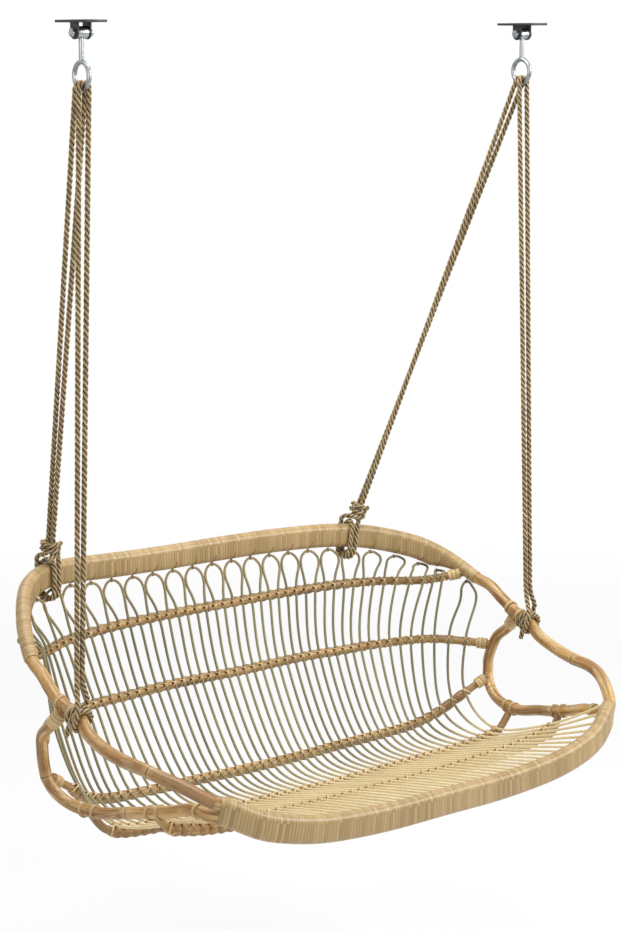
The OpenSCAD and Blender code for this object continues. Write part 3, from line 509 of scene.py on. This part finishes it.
def foot(side, j):
    """Where a leg ends, on the wound front rail."""
    x = leg_x(LEVELS, side, j)
    slope = abs(along(front_line, x + 2 * POLE_R)[1] - along(front_line, x - 2 * POLE_R)[1]) / (4 * POLE_R)
    r = POLE_R + CANE_T + 2 * GAP
    return along(front_line, x) + (0, r * math.hypot(1, slope) + ROD_R * slope, 0)


def border(side, m):
    """Where one arch stops and the next begins, from the middle."""
    return spread(2 * m * PITCH, side, 0)


def apex(side, m):
    """An arch's top, under the top rail. Beyond the rail's end it comes forward and down with the arm."""
    x = side * (border(side, m - 1) + border(side, m)) / 2
    beyond = max(0, abs(x) - OUTER_FROM * SPAN)
    tip = abs(along(band_low, x + 2 * POLE_R)[2] - along(band_low, x - 2 * POLE_R)[2]) * TIP_SHARE
    mid = np.array(top_line)
    return np.array([x, along(mid, x)[1] - ARCH_FORWARD - (beyond * OUTER_FORWARD if side > 0 else 0),
                     along(band_low, x)[2] - POLE_R - ROD_R - CANE_T - 2 * GAP - TIE_T - beyond * OUTER_DROP - tip])


def half_hairpin(side, m, j):
    """One leg of a rod, from its foot up to the shoulder of its arch."""
    first = 1 if side > 0 and m == ARCHES else 0
    t, r = apex(side, m), leg_on(first, side, j)
    out = side * (1 if j % 2 == 0 else -1) * ((border(side, m) - border(side, m - 1)) / 2 - ROD_R - GAP / 2)
    bulge = np.array([t[0] + out, r[1] + (t[1] - r[1]) * BULGE_UP, r[2] + (t[2] - r[2]) * BULGE_UP])
    shoulder = np.array([t[0] + out * SHOULDER_UP, *(bulge[1:] + (t[1:] - bulge[1:]) * SHOULDER_UP)])
    return [foot(side, j), *(leg_on(level, side, j) for level in range(LEVELS - 1, first - 1, -1)), bulge, shoulder]


def joined(pieces, name):
    """Like pieces that share one CAD part become one object."""
    pick(*pieces)
    bpy.ops.object.join()
    pieces[0].name = pieces[0].data.name = name
    pieces[0].select_set(False)
    return pieces[0]


f = Finish("rod_core", 0.55)
grain = f.noise((18.0, 1500.0, 1500.0))
patch = f.noise((5.0, 90.0, 90.0), 2.0)
tone = f.value("tone")
base = f.mix(f.calc("MULTIPLY", tone, 0.6), f.ramp(patch, (0.3, "70694a"), (0.7, "90865e")), color("5e5941"))
where = f.put("SeparateXYZ", Vector=f.put("TexCoord").outputs["Object"])
base = f.mix(f.calc("MULTIPLY", f.fade(where.outputs[2], -1.27, -1.2), 0.6), base, color("9f8a5f"))
# Painted light: the rods turn pale straw where they run forward under the seat, standing in for the light from
# above; the reed is the same all along.
painted_seat_light = f.mix(f.calc("MULTIPLY", tone, 0.5), f.ramp(patch, (0.3, "cfb98a"), (0.7, "e2d0a4")), color("d8c190"))
base = f.mix(f.fade(where.outputs[1], 0.11, -0.04), base, painted_seat_light)
base = f.mix(0.6, base, f.ramp(grain, (0.3, 0.3), (0.7, 0.7)), "SOFT_LIGHT")
rod_core = f.done(base, grain, 0.0003)

rng = random.Random(4)
rods = []
for n in range(2 * ARCHES):
    side, m = (-1, ARCHES - n) if n < ARCHES else (1, n - ARCHES + 1)
    line = bent(half_hairpin(side, m, 2 * m - 1) + [apex(side, m)] + half_hairpin(side, m, 2 * m)[::-1], 8)
    rods.append(round_skin("hairpin", line, ROD_R, 10, start=2.2 * n, extras={"tone": np.array([[rng.random()]])}))
for k, hand in enumerate(("left", "middle", "right")):
    group = joined(rods[k * GROUP:(k + 1) * GROUP], "hairpin_rods_" + hand)
    finished(group, rod_core, "hairpins_" + hand)


# Flat cane round the top rail and the front rail: split rattan skin about 7 mm wide, wound edge to edge round both
# poles, and round the hoop alone where the second pole stops. Each turn differs a little in colour.
STRIP, BAND_SIDES = 0.007, 36


def winding(name, high, low, sides, inner, thick, strip, count, start=0.0):
    """A skin of flat strips wound round one pole, or round two whose middles are the lines high and low."""
    h = headings(high)
    b = np.cross(sides, h)
    a = 2 * np.pi * np.arange(count) / count
    spoke = np.cos(a)[:, None] * sides[:, None] + np.sin(a)[:, None] * b[:, None]
    upper = (np.sin(a) * np.sign(b[len(b) // 2][2]) > -1e-9)[None, :, None]
    s = lengths(high) + start
    turn = (s[:, None] / strip + np.arange(count)[None] / count) % 1
    dome = thick * (0.72 + 0.28 * (1 - np.abs(2 * turn - 1) ** 5))
    middle = np.where(upper, high[:, None], low[:, None])
    rings = middle + (inner + dome)[..., None] * spoke
    return skin(name, rings, s, np.stack([(inner + dome) * np.cos(a), (inner + dome) * np.sin(a)], -1))


def cane(name, strip, shades, edge, roughness=0.4):
    """Split cane: its own shade for each turn, fine lines along the strip, and a dark gap between the turns."""
    f = Finish(name, roughness, coat=0.1)
    parts = f.put("SeparateXYZ", Vector=f.put("UVMap", {"uv_map": "UVMap"}).outputs[0])
    turn = f.calc("ADD", f.calc("DIVIDE", parts.outputs[0], strip), parts.outputs[1])
    whole_turn = f.calc("FLOOR", turn)
    own = f.put("TexWhiteNoise", {"noise_dimensions": "1D"}, W=whole_turn).outputs["Value"]
    cloud = f.calc("MULTIPLY", f.noise((9.0, 20.0, 20.0), 2.0), 0.45)
    mixed = f.calc("ADD", f.calc("MULTIPLY", own, 0.55), cloud)
    base = f.ramp(mixed, *zip(np.linspace(0.2, 0.8, len(shades)), shades))
    lines = f.noise((1900.0, 26.0, 26.0))
    base = f.mix(0.5, base, f.ramp(lines, (0.3, 0.33), (0.7, 0.67)), "SOFT_LIGHT")
    part = f.calc("SUBTRACT", turn, whole_turn)
    off = f.calc("ABSOLUTE", f.calc("SUBTRACT", part, 0.5))
    gap = f.ramp(f.calc("MULTIPLY", off, 2.0), (0.84, 0.0), (0.97, 0.8))
    base = f.mix(gap, base, color(edge))
    return f.done(base, f.mix(gap, lines, (0, 0, 0, 1)), 0.0003)


band_cane = cane("band_cane", STRIP, ("92784b", "9c8254", "a58a5c", "af9467", "977c4f"), "5f4829")
first, last = STEPS // 2, len(front_line) - 1 - STEPS // 2
mid_high, mid_low = front_line[first:last + 1], low_line[first + STEPS:last + STEPS + 1]
top_fine, front_fine = stepped(top_high, STRIP / 5), stepped(mid_high, STRIP / 5)
share_fine, share_low = (lengths(line) / lengths(line)[-1] for line in (front_fine, mid_low))
for name, line, low in (("top_cane", top_fine, read_off(band_low, lengths(top_high), lengths(top_fine))),
                        ("front_cane", front_fine, read_off(mid_low, share_low, share_fine))):
    finished(winding(name + "_wound", line, low, level_sides(headings(line)), POLE_R + GAP, CANE_T, STRIP,
                     BAND_SIDES), band_cane, name + "_wrap")


# Ties at the crossings: a narrow strip of cane goes over the rod and round the rail on the slant, twice, so that
# it shows as a pale cross on each rod.
TIE_W, SEAT_TIE_W, SEAT_TIE_T, BEDDED = 0.0034, 0.0048, 0.0022, 0.0002
TILT = math.radians(40)


def tie_outline(turn):
    """The loop that a tie makes round a rod and a rail, in the slanting plane that it lies in."""
    a = np.linspace(0, 2 * np.pi, 48, endpoint=False)
    rail = np.stack([np.cos(a) * RAIL_R, np.sin(a) * RAIL_R / math.cos(turn)], 1)
    rod = np.stack([RAIL_R + ROD_R + np.cos(a) * ROD_R, np.sin(a) * ROD_R / math.sin(turn)], 1)
    cloud, loop = np.concatenate([rail, rod]), []
    for way in np.linspace(0, 2 * np.pi, 12, endpoint=False):
        d = np.array([math.cos(way), math.sin(way)])
        p = cloud[(cloud @ d).argmax()]
        if not loop or np.linalg.norm(p - loop[-1]) > 1e-4:
            loop.append(p)
    return np.array(loop)


def loop_mesh(name, loop, out, run, across, at, wide, thick):
    """A closed loop of flat strip with a rounded back."""
    away = units(loop - loop.mean(0))
    rows = []
    for reach, side in ((BEDDED, -0.5), (thick, -0.32), (thick, 0.32), (BEDDED, 0.5)):
        flat = loop + away * reach
        rows.append(at + flat[:, :1] * out + flat[:, 1:] * run + across * side * wide)
    rings = np.stack(rows, 1)
    n, m = rings.shape[:2]
    faces = [[i * m + k, i * m + (k + 1) % m, (i + 1) % n * m + (k + 1) % m, (i + 1) % n * m + k]
             for i in range(n) for k in range(m)]
    piece = from_rings(name, rings, faces)
    pick(piece)
    bpy.ops.object.mode_set(mode="EDIT")
    bpy.ops.mesh.select_all(action="SELECT")
    bpy.ops.mesh.normals_make_consistent(inside=False)
    bpy.ops.object.mode_set(mode="OBJECT")
    return piece


f = Finish("tie_cane", 0.5)
fine = f.plain_noise(700.0)
base = f.ramp(f.plain_noise(24.0, 1.0), (0.3, "a58356"), (0.55, "c0a06d"), (0.75, "d2ba8c"))
tie_cane = f.done(f.mix(0.5, base, f.ramp(fine, (0.3, 0.3), (0.7, 0.7)), "SOFT_LIGHT"), fine, 0.0003)

f = Finish("stitch_cane", 0.5)
fine = f.plain_noise(700.0)
stitch_cane = f.done(f.ramp(fine, (0.3, "6d5330"), (0.7, "8f7147")), fine, 0.0003)

for level, name in enumerate(RAILS):
    node, made = "ties_" + name.replace("rail_", ""), []
    wide, thick = (TIE_W, TIE_T) if level < 3 else (SEAT_TIE_W, SEAT_TIE_T)
    for side in (-1, 1):
        for j in range(1, tied(level, side) + 1):
            at, way, out = crossing(level, leg_x(level, side, j))
            run = np.cross(out, way)
            for turn in (TILT, -TILT):
                up = math.cos(turn) * run + math.sin(turn) * way
                made.append(loop_mesh("tie", tie_outline(abs(turn)), out, up, np.cross(out, up), at, wide, thick))
    finished(joined(made, node + "_wound"), tie_cane, node)


# Loops of cane at the arches' tops: each goes round a rod's bend and up through the wrap over it, where it shows as
# a short slanted stitch.
STITCH_W, STITCH_T, STITCH_SUNK, SLANT, ARCH_TIE_W = 0.0036, 0.0008, 0.0004, 0.007, 0.0042


def stitch(at):
    """A short strip laid up the front of the wrap, from under the lower pole to its middle height."""
    axis, way = nearest(at, band_low)
    front = unit(np.cross(way, UP))
    rise_way = np.cross(front, way)
    a = np.radians(np.linspace(-68, 8, 9))[:, None]
    out = np.cos(a) * front + np.sin(a) * rise_way
    line = axis + way * SLANT * np.linspace(-0.3, 0.7, 9)[:, None] + out * (POLE_R + GAP + CANE_T)
    across = np.cross(out, headings(line))
    rings = np.stack([line + across * side * STITCH_W + out * reach for reach, side in
                      ((-STITCH_SUNK, -0.5), (STITCH_T, -0.3), (STITCH_T, 0.3), (-STITCH_SUNK, 0.5))], 1)
    return skin("stitch", rings, lengths(line), rings[..., 1:])


a = np.linspace(0, 2 * np.pi, 24, endpoint=False)
loop = np.stack([np.cos(a), np.sin(a)], 1) * (ROD_R + GAP)
made = []
for side in (-1, 1):
    for m in range(1, ARCHES + 1):
        at = apex(side, m)
        tie = loop_mesh("arch", loop, np.array([0, -1, 0]), UP, np.array([1, 0, 0]), at, ARCH_TIE_W, TIE_T)
        made += [tie, stitch(at)]
finished(joined(made, "arch_ties_wound"), stitch_cane, "arch_ties")


# Wraps of cane at the joints: the rails' ends, the side frames' tops and the arms beside them, each wound tight
# over its joint. Narrower bindings sit on the side frames beside the seat rails.
JOINT_STRIP, WRAP_SIDES, WRAP_FROM = 0.0045, 28, 0.008
WRAP_BED, COLLAR_BED = 0.0004, 0.0008
UPPER_WRAP_END, RAIL_WRAP_END, SIDE_WRAP_END = 0.036, 0.032, 0.046
RAIL_WRAP_T, SIDE_WRAP_T, ARM_APART, SEAT_APART = 0.0028, 0.0026, 0.02, 0.016
ARM_BAND, SEAT_BAND, FRONT_BAND = (0.008, 0.0022, 0.0035), (0.0055, 0.0024, 0.0028), (0.008, 0.0024, 0.004)


def bound(line, start, end, radius, thick, strip=JOINT_STRIP):
    """A band of cane strips round a pole, from one distance to another along its line."""
    at = np.linspace(start, end, max(3, int((end - start) / strip * 6)))
    line = read_off(line, lengths(line), at)
    return winding("wrap", line, line, carried_sides(headings(line)), radius, thick, strip, WRAP_SIDES, at[0])


def collar(at, way, radius, wide, thick, strip):
    """A short band round a pole at one place."""
    line = np.array([at - way * wide / 2, at + way * wide / 2])
    return bound(line, 0, wide, radius + COLLAR_BED, thick, strip)


joint_cane = cane("joint_cane", JOINT_STRIP, ("9a7f52", "b29665", "c8ae7f", "a68b5a"), "4f3a22", 0.5)
for hand, end in (("left", 0), ("right", -1)):
    bands = []
    for name, until in zip(RAILS, (UPPER_WRAP_END, RAIL_WRAP_END, RAIL_WRAP_END)):
        line = rail_lines[name] if end == 0 else rail_lines[name][::-1]
        bands.append(bound(line, WRAP_FROM, until, RAIL_R + WRAP_BED, RAIL_WRAP_T))
    line = side_lines[hand]
    bands.append(bound(line, WRAP_FROM, SIDE_WRAP_END, SIDE_R + WRAP_BED, SIDE_WRAP_T))
    at, way = nearest(line[0], hoop)
    bands += [collar(at + way * away * ARM_APART, way, POLE_R, *ARM_BAND) for away in (-1, 1)]
    finished(joined(bands, "joint_wraps_" + hand + "_wound"), joint_cane, "joint_wraps_" + hand)
    bands = []
    for name in RAILS[3:]:
        at, way = nearest(rail_lines[name][end], line)
        bands += [collar(at + way * away * SEAT_APART, way, SIDE_R, *SEAT_BAND) for away in (-1, 1)]
    bands.append(collar(line[-1], headings(low_line)[end], SIDE_R, *FRONT_BAND))
    finished(joined(bands, "side_bindings_" + hand + "_wound"), joint_cane, "side_bindings_" + hand)


# Ropes: three-strand jute of 12 mm. Each rope is doubled over a steel ring and both legs come down to one hitch:
# turns round the bare arm in front, and round the wound top rail behind, where a collar of rope holds the legs.
ROPE_R, WIRE_R, RING_IN, EYE_DROP, HANGERS = 0.006, 0.005, 0.021, 0.105, 1.15
LAY, STRAND_OUT, STRAND_R, HEART, ROPE_SIDES = 0.038, 0.536, 0.464, 0.5, 18
TURN_STEP, FREE_STEP, LEAVING, END_TAPER = 0.0022, 0.0024, 0.018, 0.002
ARM_PLACE, GATHER, HITCH_SLACK, BAND_EXTRA = 5, 0.07, 0.002, 0.018
KNOT_RISE, KNOT_REACH, KNOT_TURNS, KNOT_TAIL, KNOT_STUB = 0.078, 0.02, 2, 0.032, 0.014
TURN_CUTS, TAIL_Z = 72, {-1: -0.056, 1: -0.044}
strand_x, strand_y = ROPE_R + WIRE_R + GAP, ROPE_R + GAP
saddle_z = -EYE_DROP - math.sqrt((RING_IN - ROPE_R - GAP) ** 2 - strand_y ** 2)
PITCH_WOUND = 2 * ROPE_R + 4 * GAP
BAND_TALL = rise + drop + BAND_EXTRA


def turned(a, half, radius, wide, way=1):
    """Turns round two middles that are twice half apart, wide from the first turn to the last."""
    return np.stack([way * radius * np.cos(a), half * np.sign(np.round(np.sin(a) * 24)) + radius * np.sin(a),
                     np.linspace(-wide / 2, wide / 2, len(a))], 1)


def wound(turns, half, radius):
    """Rope turned round one pole or round a tall band, in the frame of the pole, with both ends going up."""
    a = np.linspace(math.pi, math.pi + 2 * math.pi * (turns - 0.5), int(TURN_CUTS * (turns - 0.5)) + 1)
    wide = PITCH_WOUND * (turns - 0.5)
    points = turned(a, half, radius, wide)
    up = half + 2 * ROPE_R
    return np.concatenate([[[-radius, up, -wide / 2]], points, [[radius * math.cos(a[-1]), up, wide / 2]]])


def placed(points, at, right, up, ahead):
    return at + points[:, :1] * right + points[:, 1:2] * up + points[:, 2:3] * ahead


def hoop_place(i):
    h = headings(hoop)[i]
    right = unit(np.cross(h, UP))
    return hoop[i], right, np.cross(right, h), h


def band_place(x):
    at = along(top_high, x)
    h = unit(along(top_high, x + 2 * POLE_R) - at)
    right = unit(np.cross(h, UP))
    return at - UP * BAND_TALL / 2, right, np.cross(right, h), h


def eased(points, reach=0.022, steps=6):
    """A line whose corners are rounded, as stiff rope takes them."""
    line = [points[0]]
    for a, b, c in zip(points[:-2], points[1:-1], points[2:]):
        r = min(reach, 0.48 * np.linalg.norm(b - a), 0.48 * np.linalg.norm(c - b))
        start, end = b + unit(a - b) * r, b + unit(c - b) * r
        for t in np.linspace(0, 1, steps if r > 0.002 else 2):
            line.append((1 - t) ** 2 * start + 2 * t * (1 - t) * b + t * t * end)
    return np.array(line + [points[-1]])


def tight(points):
    """A line of close turns at an even step."""
    return stepped(eased(list(points), 0.01, 4), TURN_STEP)


def ring_at(side):
    return np.array([side * HANGERS / 2, 0, -EYE_DROP]) - BENCH


def knot_place(place, side):
    d = unit(ring_at(side) - place[0])
    front = unit(np.cross(place[3], d))
    return place[0] + d * KNOT_RISE, unit(np.cross(front, d)), front, d


def rope_skin(name, line, twist, sides, h, size=1.0, start=0.0):
    """Three strands laid up into one rope: the lobes go round the line by twist, and deep is low between them. The
    jute is darkened where deep is low, as painted shade in the grooves.
    """
    a = 2 * np.pi * np.arange(ROPE_SIDES) / ROPE_SIDES
    lobe = (a + np.pi / 3) % (2 * np.pi / 3) - np.pi / 3
    r = STRAND_OUT * np.cos(lobe) + np.sqrt(np.maximum(STRAND_R ** 2 - (STRAND_OUT * np.sin(lobe)) ** 2, 0))
    r = np.maximum(r, HEART)
    b = np.cross(sides, h)
    spin = (a[None] + twist[:, None])[..., None]
    reach = (r[None] * np.broadcast_to(size, len(line))[:, None] * ROPE_R)[..., None]
    rings = line[:, None] + reach * (np.cos(spin) * sides[:, None] + np.sin(spin) * b[:, None])
    flat = np.stack([r * np.cos(a), r * np.sin(a)], -1) * ROPE_R
    return skin(name, rings, lengths(line) + start, flat, {"deep": r[None]})


def short_rope(name, line, least, both_ends):
    """A loose piece of rope, drawn in at its far end or at both."""
    h, s = headings(line), lengths(line)
    left = np.minimum(s, s[-1] - s) if both_ends else s[-1] - s
    return rope_skin(name, line, 2 * math.pi * s / LAY, carried_sides(h), h, np.clip(left / END_TAPER, least, 1))


f = Finish("jute", 0.85)
fibre = f.noise((60.0, 900.0, 900.0))
base = f.ramp(f.noise((9.0, 60.0, 60.0), 2.0), (0.3, "93805e"), (0.55, "ae9870"), (0.75, "c6b28a"))
base = f.mix(0.75, base, f.ramp(fibre, (0.3, 0.25), (0.7, 0.75)), "SOFT_LIGHT")
# Painted shade: the rope is darkened low between its strands, where the strands shade each other.
base = f.mix(f.ramp(f.value("deep"), (0.6, 0.95), (0.94, 0.0)), base, color("3a2b19"))
jute = f.done(base, fibre, 0.0008)


def rope(name, hand, side, place, hitch_line, y, first, second, knot=None):
    """Lays one rope: its hitch, then up over the ring and down again, so that the strands run on all the way."""
    up_a, up_b = unit(hitch_line[0] - hitch_line[1]), unit(hitch_line[-1] - hitch_line[-2])
    a = np.linspace(0, math.pi, 25)
    x = side * (HANGERS / 2 + strand_x * np.cos(a))
    saddle = np.stack([x, np.full(25, y), saddle_z - strand_x + strand_x * np.sin(a)], 1) - BENCH
    route = [hitch_line[-1], hitch_line[-1] + up_b * LEAVING, *second, *saddle[::-1], *first[::-1],
             hitch_line[0] + up_a * LEAVING, hitch_line[0]]
    turns = tight(hitch_line)
    line = np.concatenate([turns, stepped(eased(route), FREE_STEP)[1:]])
    h = headings(line)
    h[0] = h[-1] = unit(h[0] + h[-1])
    sides = carried_sides(h)
    lag = math.atan2(sides[-1].dot(np.cross(sides[0], h[0])), sides[-1].dot(sides[0]))
    s = lengths(line)
    third = 2 * math.pi / 3
    total = third * round((2 * math.pi * s[-1] / LAY + lag) / third) - lag
    twist = total * s / s[-1]
    cut = len(turns)
    node = name + "_hitch_" + hand
    hitch = rope_skin(node + "_wound", line[:cut], twist[:cut], sides[:cut], h[:cut])
    if knot is None:
        ends = [place[0] + sum(v * w for v, w in zip(p, place[1:])) for p in
                ((side * 0.012, -0.014, 0.004), (side * 0.013, -0.032, 0.008), (side * 0.010, TAIL_Z[side], 0.008))]
        tail = short_rope("tail", stepped(eased(ends, 0.012), TURN_STEP), 0.7, False)
        hitch = joined([hitch, tail], node + "_wound")
    finished(hitch, jute, node, angle=80)
    free, on_it = line[cut - 1:], [hitch]
    cord = rope_skin(name + "_rope_" + hand + "_laid", free, twist[cut - 1:], sides[cut - 1:], h[cut - 1:],
                     start=s[cut - 1])
    finished(cord, jute, name + "_rope_" + hand, angle=80)
    if knot is not None:
        on_it.append(short_rope("rear_knot_" + hand + "_wound", tight(knot), 0.75, True))
        finished(on_it[-1], jute, "rear_knot_" + hand, angle=80)


for hand, side, hitch_x in (("left", -1, -0.47), ("right", 1, 0.36)):
    place = hoop_place((1 + arm_n - ARM_PLACE) * STEPS if side < 0 else (arm_n + top_n + ARM_PLACE) * STEPS)
    turns = placed(wound(3, 0, POLE_R + ROPE_R + GAP + HITCH_SLACK), *place)
    gather = place[0] + unit(ring_at(side) - place[0]) * GATHER
    rope("front", hand, side, place, turns, -strand_y, *([gather + e * strand_y * place[1]] for e in (-1, 1)))
    place = band_place(hitch_x)
    turns = placed(wound(2, BAND_TALL / 2, POLE_R + ROPE_R + CANE_T + 2 * GAP), *place)
    k = knot_place(place, side)
    a = math.pi / 2 - np.linspace(0, 2 * math.pi * KNOT_TURNS, TURN_CUTS * KNOT_TURNS + 1)
    loops = turned(a, strand_y, 2 * ROPE_R + 2 * GAP, PITCH_WOUND * KNOT_TURNS, -1)
    loops = np.concatenate([[loops[0] + (KNOT_TAIL, 0, 0)], loops, [loops[-1] - (KNOT_STUB, 0, 0)]])
    legs = [[k[0] + e * strand_y * k[2] + up * KNOT_REACH * k[3] for up in (-1, 1)] for e in (-1, 1)]
    rope("rear", hand, side, place, turns, strand_y, *legs, placed(loops, *k))


# Ceiling hangers: a plate with two ears, screwed up, and a pivot bolt with its nut that carries the swing eye. The
# brackets are bent and powder-coated black, and the bolt, nut and eye are zinc-plated.
ACROSS, UPRIGHT = (0, math.pi / 2, 0), (0, 0, 0)
PIVOT_Z, PIN_R, BORE_R, THROUGH = -0.024, 0.005, 0.00505, 0.06
PLATE, PLATE_Z, SCREW_Y, SCREW_R = (0.024, 0.055, 0.0025), -0.0025, 0.042, 0.00425
EAR, EAR_X, EAR_Z, EAR_R, EAR_T = (0.002, 0.013, 0.0115), 0.014, -0.0125, 0.013, 0.004
HEAD_R, HEAD_T, HEAD_X, SHANK_X, SHANK_L = 0.009, 0.007, 0.0195, 0.005, 0.042
BOSS_R, BOSS_L, STEM_Z, STEM_L = 0.012, 0.0234, -0.056, 0.044


def metal(name, shade, roughness, metallic, speckle):
    """Coated or plated steel: two near shades and fine specks."""
    f = Finish(name, roughness)
    f.shader.inputs["Metallic"].default_value = metallic
    broad = f.plain_noise(60.0)
    return f.done(f.ramp(broad, (0.35, shade[0]), (0.65, shade[1])), f.plain_noise(900.0), speckle,
                  f.ramp(broad, (0.3, roughness * 0.8), (0.7, roughness * 1.25)))


def block(kind, at, turn=UPRIGHT, size=(1, 1, 1), **extra):
    """A plain solid, left unturned and unscaled."""
    getattr(bpy.ops.mesh, "primitive_" + kind + "_add")(location=at, rotation=turn, **extra)
    piece = bpy.context.active_object
    piece.scale = size
    bpy.ops.object.transform_apply(location=True, rotation=True, scale=True)
    return piece


def combined(piece, other, operation):
    bpy.context.view_layer.objects.active = piece
    tool = piece.modifiers.new("join", "BOOLEAN")
    tool.operation, tool.solver, tool.object = operation, "EXACT", other
    bpy.ops.object.modifier_apply(modifier="join")
    bpy.data.objects.remove(other)
    return piece


def softened(piece, width, segments=3):
    bpy.context.view_layer.objects.active = piece
    edge = piece.modifiers.new("edge", "BEVEL")
    edge.width, edge.segments, edge.limit_method, edge.angle_limit = width, segments, "ANGLE", math.radians(40)
    bpy.ops.object.modifier_apply(modifier="edge")
    return piece


def bar(at, turn, radius, depth, vertices=48):
    return block("cylinder", at, turn, radius=radius, depth=depth, vertices=vertices)


def fitted(piece, name, material, node, body="ceiling_hangers"):
    piece.name = piece.data.name = name
    finished(piece, material, node, body, 35)


black_coat = metal("black_coat", ("121314", "1b1c1d"), 0.5, 0.0, 0.0001)
zinc = metal("zinc", ("8b8f92", "a7abad"), 0.32, 1.0, 0.00003)
for hand, x in (("left", -HANGERS / 2), ("right", HANGERS / 2)):
    pivot = (x, 0, PIVOT_Z)
    bracket = block("cube", (x, 0, PLATE_Z), size=PLATE)
    for e in (-1, 1):
        ear = block("cube", (x + e * EAR_X, 0, EAR_Z), size=EAR)
        ear = combined(ear, bar((x + e * EAR_X, 0, PIVOT_Z), ACROSS, EAR_R, EAR_T, 64), "UNION")
        bracket = combined(bracket, ear, "UNION")
        bracket = combined(bracket, bar((x, e * SCREW_Y, PLATE_Z), UPRIGHT, SCREW_R, 0.02), "DIFFERENCE")
    bracket = combined(bracket, bar(pivot, ACROSS, BORE_R, THROUGH), "DIFFERENCE")
    fitted(softened(bracket, 0.0007), "bracket_" + hand + "_bent", black_coat,
           "ceiling_bracket_" + hand)
    for kind, centre in (("bolt", -HEAD_X), ("nut", HEAD_X)):
        head = softened(bar((x + centre, 0, PIVOT_Z), ACROSS, HEAD_R, HEAD_T, 6), 0.0007, 2)
        if kind == "bolt":
            shank = softened(bar((x + SHANK_X, 0, PIVOT_Z), ACROSS, PIN_R, SHANK_L), 0.0006, 2)
            head = combined(head, shank, "UNION")
        else:
            head = combined(head, bar((x + centre, 0, PIVOT_Z), ACROSS, BORE_R, 0.02), "DIFFERENCE")
        node = "pivot_" + kind + "_" + hand
        fitted(head, node + "_made", zinc, node)
    eye = softened(bar(pivot, ACROSS, BOSS_R, BOSS_L, 64), 0.0008)
    eye = combined(eye, bar((x, 0, STEM_Z), UPRIGHT, WIRE_R, STEM_L), "UNION")
    eye = combined(eye, block("torus", (x, 0, -EYE_DROP), ACROSS, major_radius=RING_IN + WIRE_R,
                              minor_radius=WIRE_R, major_segments=96, minor_segments=32), "UNION")
    eye = combined(eye, bar(pivot, ACROSS, BORE_R, THROUGH), "DIFFERENCE")
    fitted(eye, "swing_eye_" + hand + "_forged", zinc, "swing_eye_" + hand, "swing")


# Studio: a pale floor under the bench and a white room, with the bench seen from its left front, a little above.
# The floor lets the camera see it as white and still takes the bench's shadow.
FLOOR_SIZE, FLOOR_Z, ROOM_LIGHT = 14, -2.1, 0.33
NEAR, FAR, NEAR_WHITE = 0.9, 4.5, 0.72
AIM = Vector((0, 0, -1.35))
CAMERA_AT, CAMERA_DOWN, CAMERA_TURN, LENS = (-2.8805, -3.6610, -0.0475), 10.735, -38, 85.77

bpy.ops.mesh.primitive_plane_add(size=FLOOR_SIZE, location=(0, 0, FLOOR_Z))
floor = bpy.context.active_object
floor.name = "floor"
f = Finish("floor_paint", 0.9)
f.shader.inputs["Base Color"].default_value = (0.82, 0.82, 0.82, 1)
away = f.put("VectorMath", {"operation": "LENGTH"}, i0=f.put("TexCoord").outputs["Object"]).outputs["Value"]
white = f.put("MapRange", i0=away, i1=NEAR, i2=FAR, i3=NEAR_WHITE, i4=1.0).outputs[0]
seen = f.calc("MULTIPLY", f.put("LightPath").outputs["Is Camera Ray"], white)
both = f.put("MixShader", i0=seen, i1=f.shader.outputs[0], i2=f.put("Emission").outputs[0]).outputs[0]
below = f.put("NewGeometry").outputs["Backfacing"]
one_sided = f.put("MixShader", i0=below, i1=both, i2=f.put("BsdfTransparent").outputs[0]).outputs[0]
f.tree.links.new(one_sided, f.tree.nodes["Material Output"].inputs[0])
floor.data.materials.append(f.material)

world = bpy.data.worlds.new("room")
bpy.context.scene.world = world
world.use_nodes = True
tree = world.node_tree
dim = tree.nodes["Background"]
dim.inputs[0].default_value, dim.inputs[1].default_value = (1, 1, 1, 1), ROOM_LIGHT
white = add_node(tree, "Background", i0=(1, 1, 1, 1), i1=1.0).outputs[0]
rays = add_node(tree, "LightPath").outputs
seen = rays["Is Camera Ray"]
for kind in ("Is Glossy Ray", "Is Transmission Ray"):
    seen = add_node(tree, "Math", {"operation": "MAXIMUM"}, i0=seen, i1=rays[kind]).outputs[0]
both = add_node(tree, "MixShader", i0=seen, i1=dim.outputs[0], i2=white).outputs[0]
tree.links.new(both, tree.nodes["World Output"].inputs[0])

for name, spot, size, power in (("key_lamp", (2.4, -3.0, 0.9), 1.6, 158), ("fill_lamp", (-3.0, -1.4, -0.2), 2.4, 30),
                                ("top_lamp", (-0.2, 0.2, 1.5), 2.2, 92)):
    lamp = new_object(name, bpy.data.lights.new(name, "AREA"))
    lamp.data.size, lamp.data.energy = size, power
    lamp.location = spot
    lamp.rotation_euler = (AIM - lamp.location).to_track_quat("-Z", "Y").to_euler()

camera = new_object("camera", bpy.data.cameras.new("camera"))
camera.location = CAMERA_AT
camera.rotation_euler = (math.radians(90 - CAMERA_DOWN), 0, math.radians(CAMERA_TURN))
camera.data.lens, camera.data.sensor_width = LENS, 36
bpy.context.scene.camera = camera
bpy.context.scene.view_settings.view_transform = "Standard"
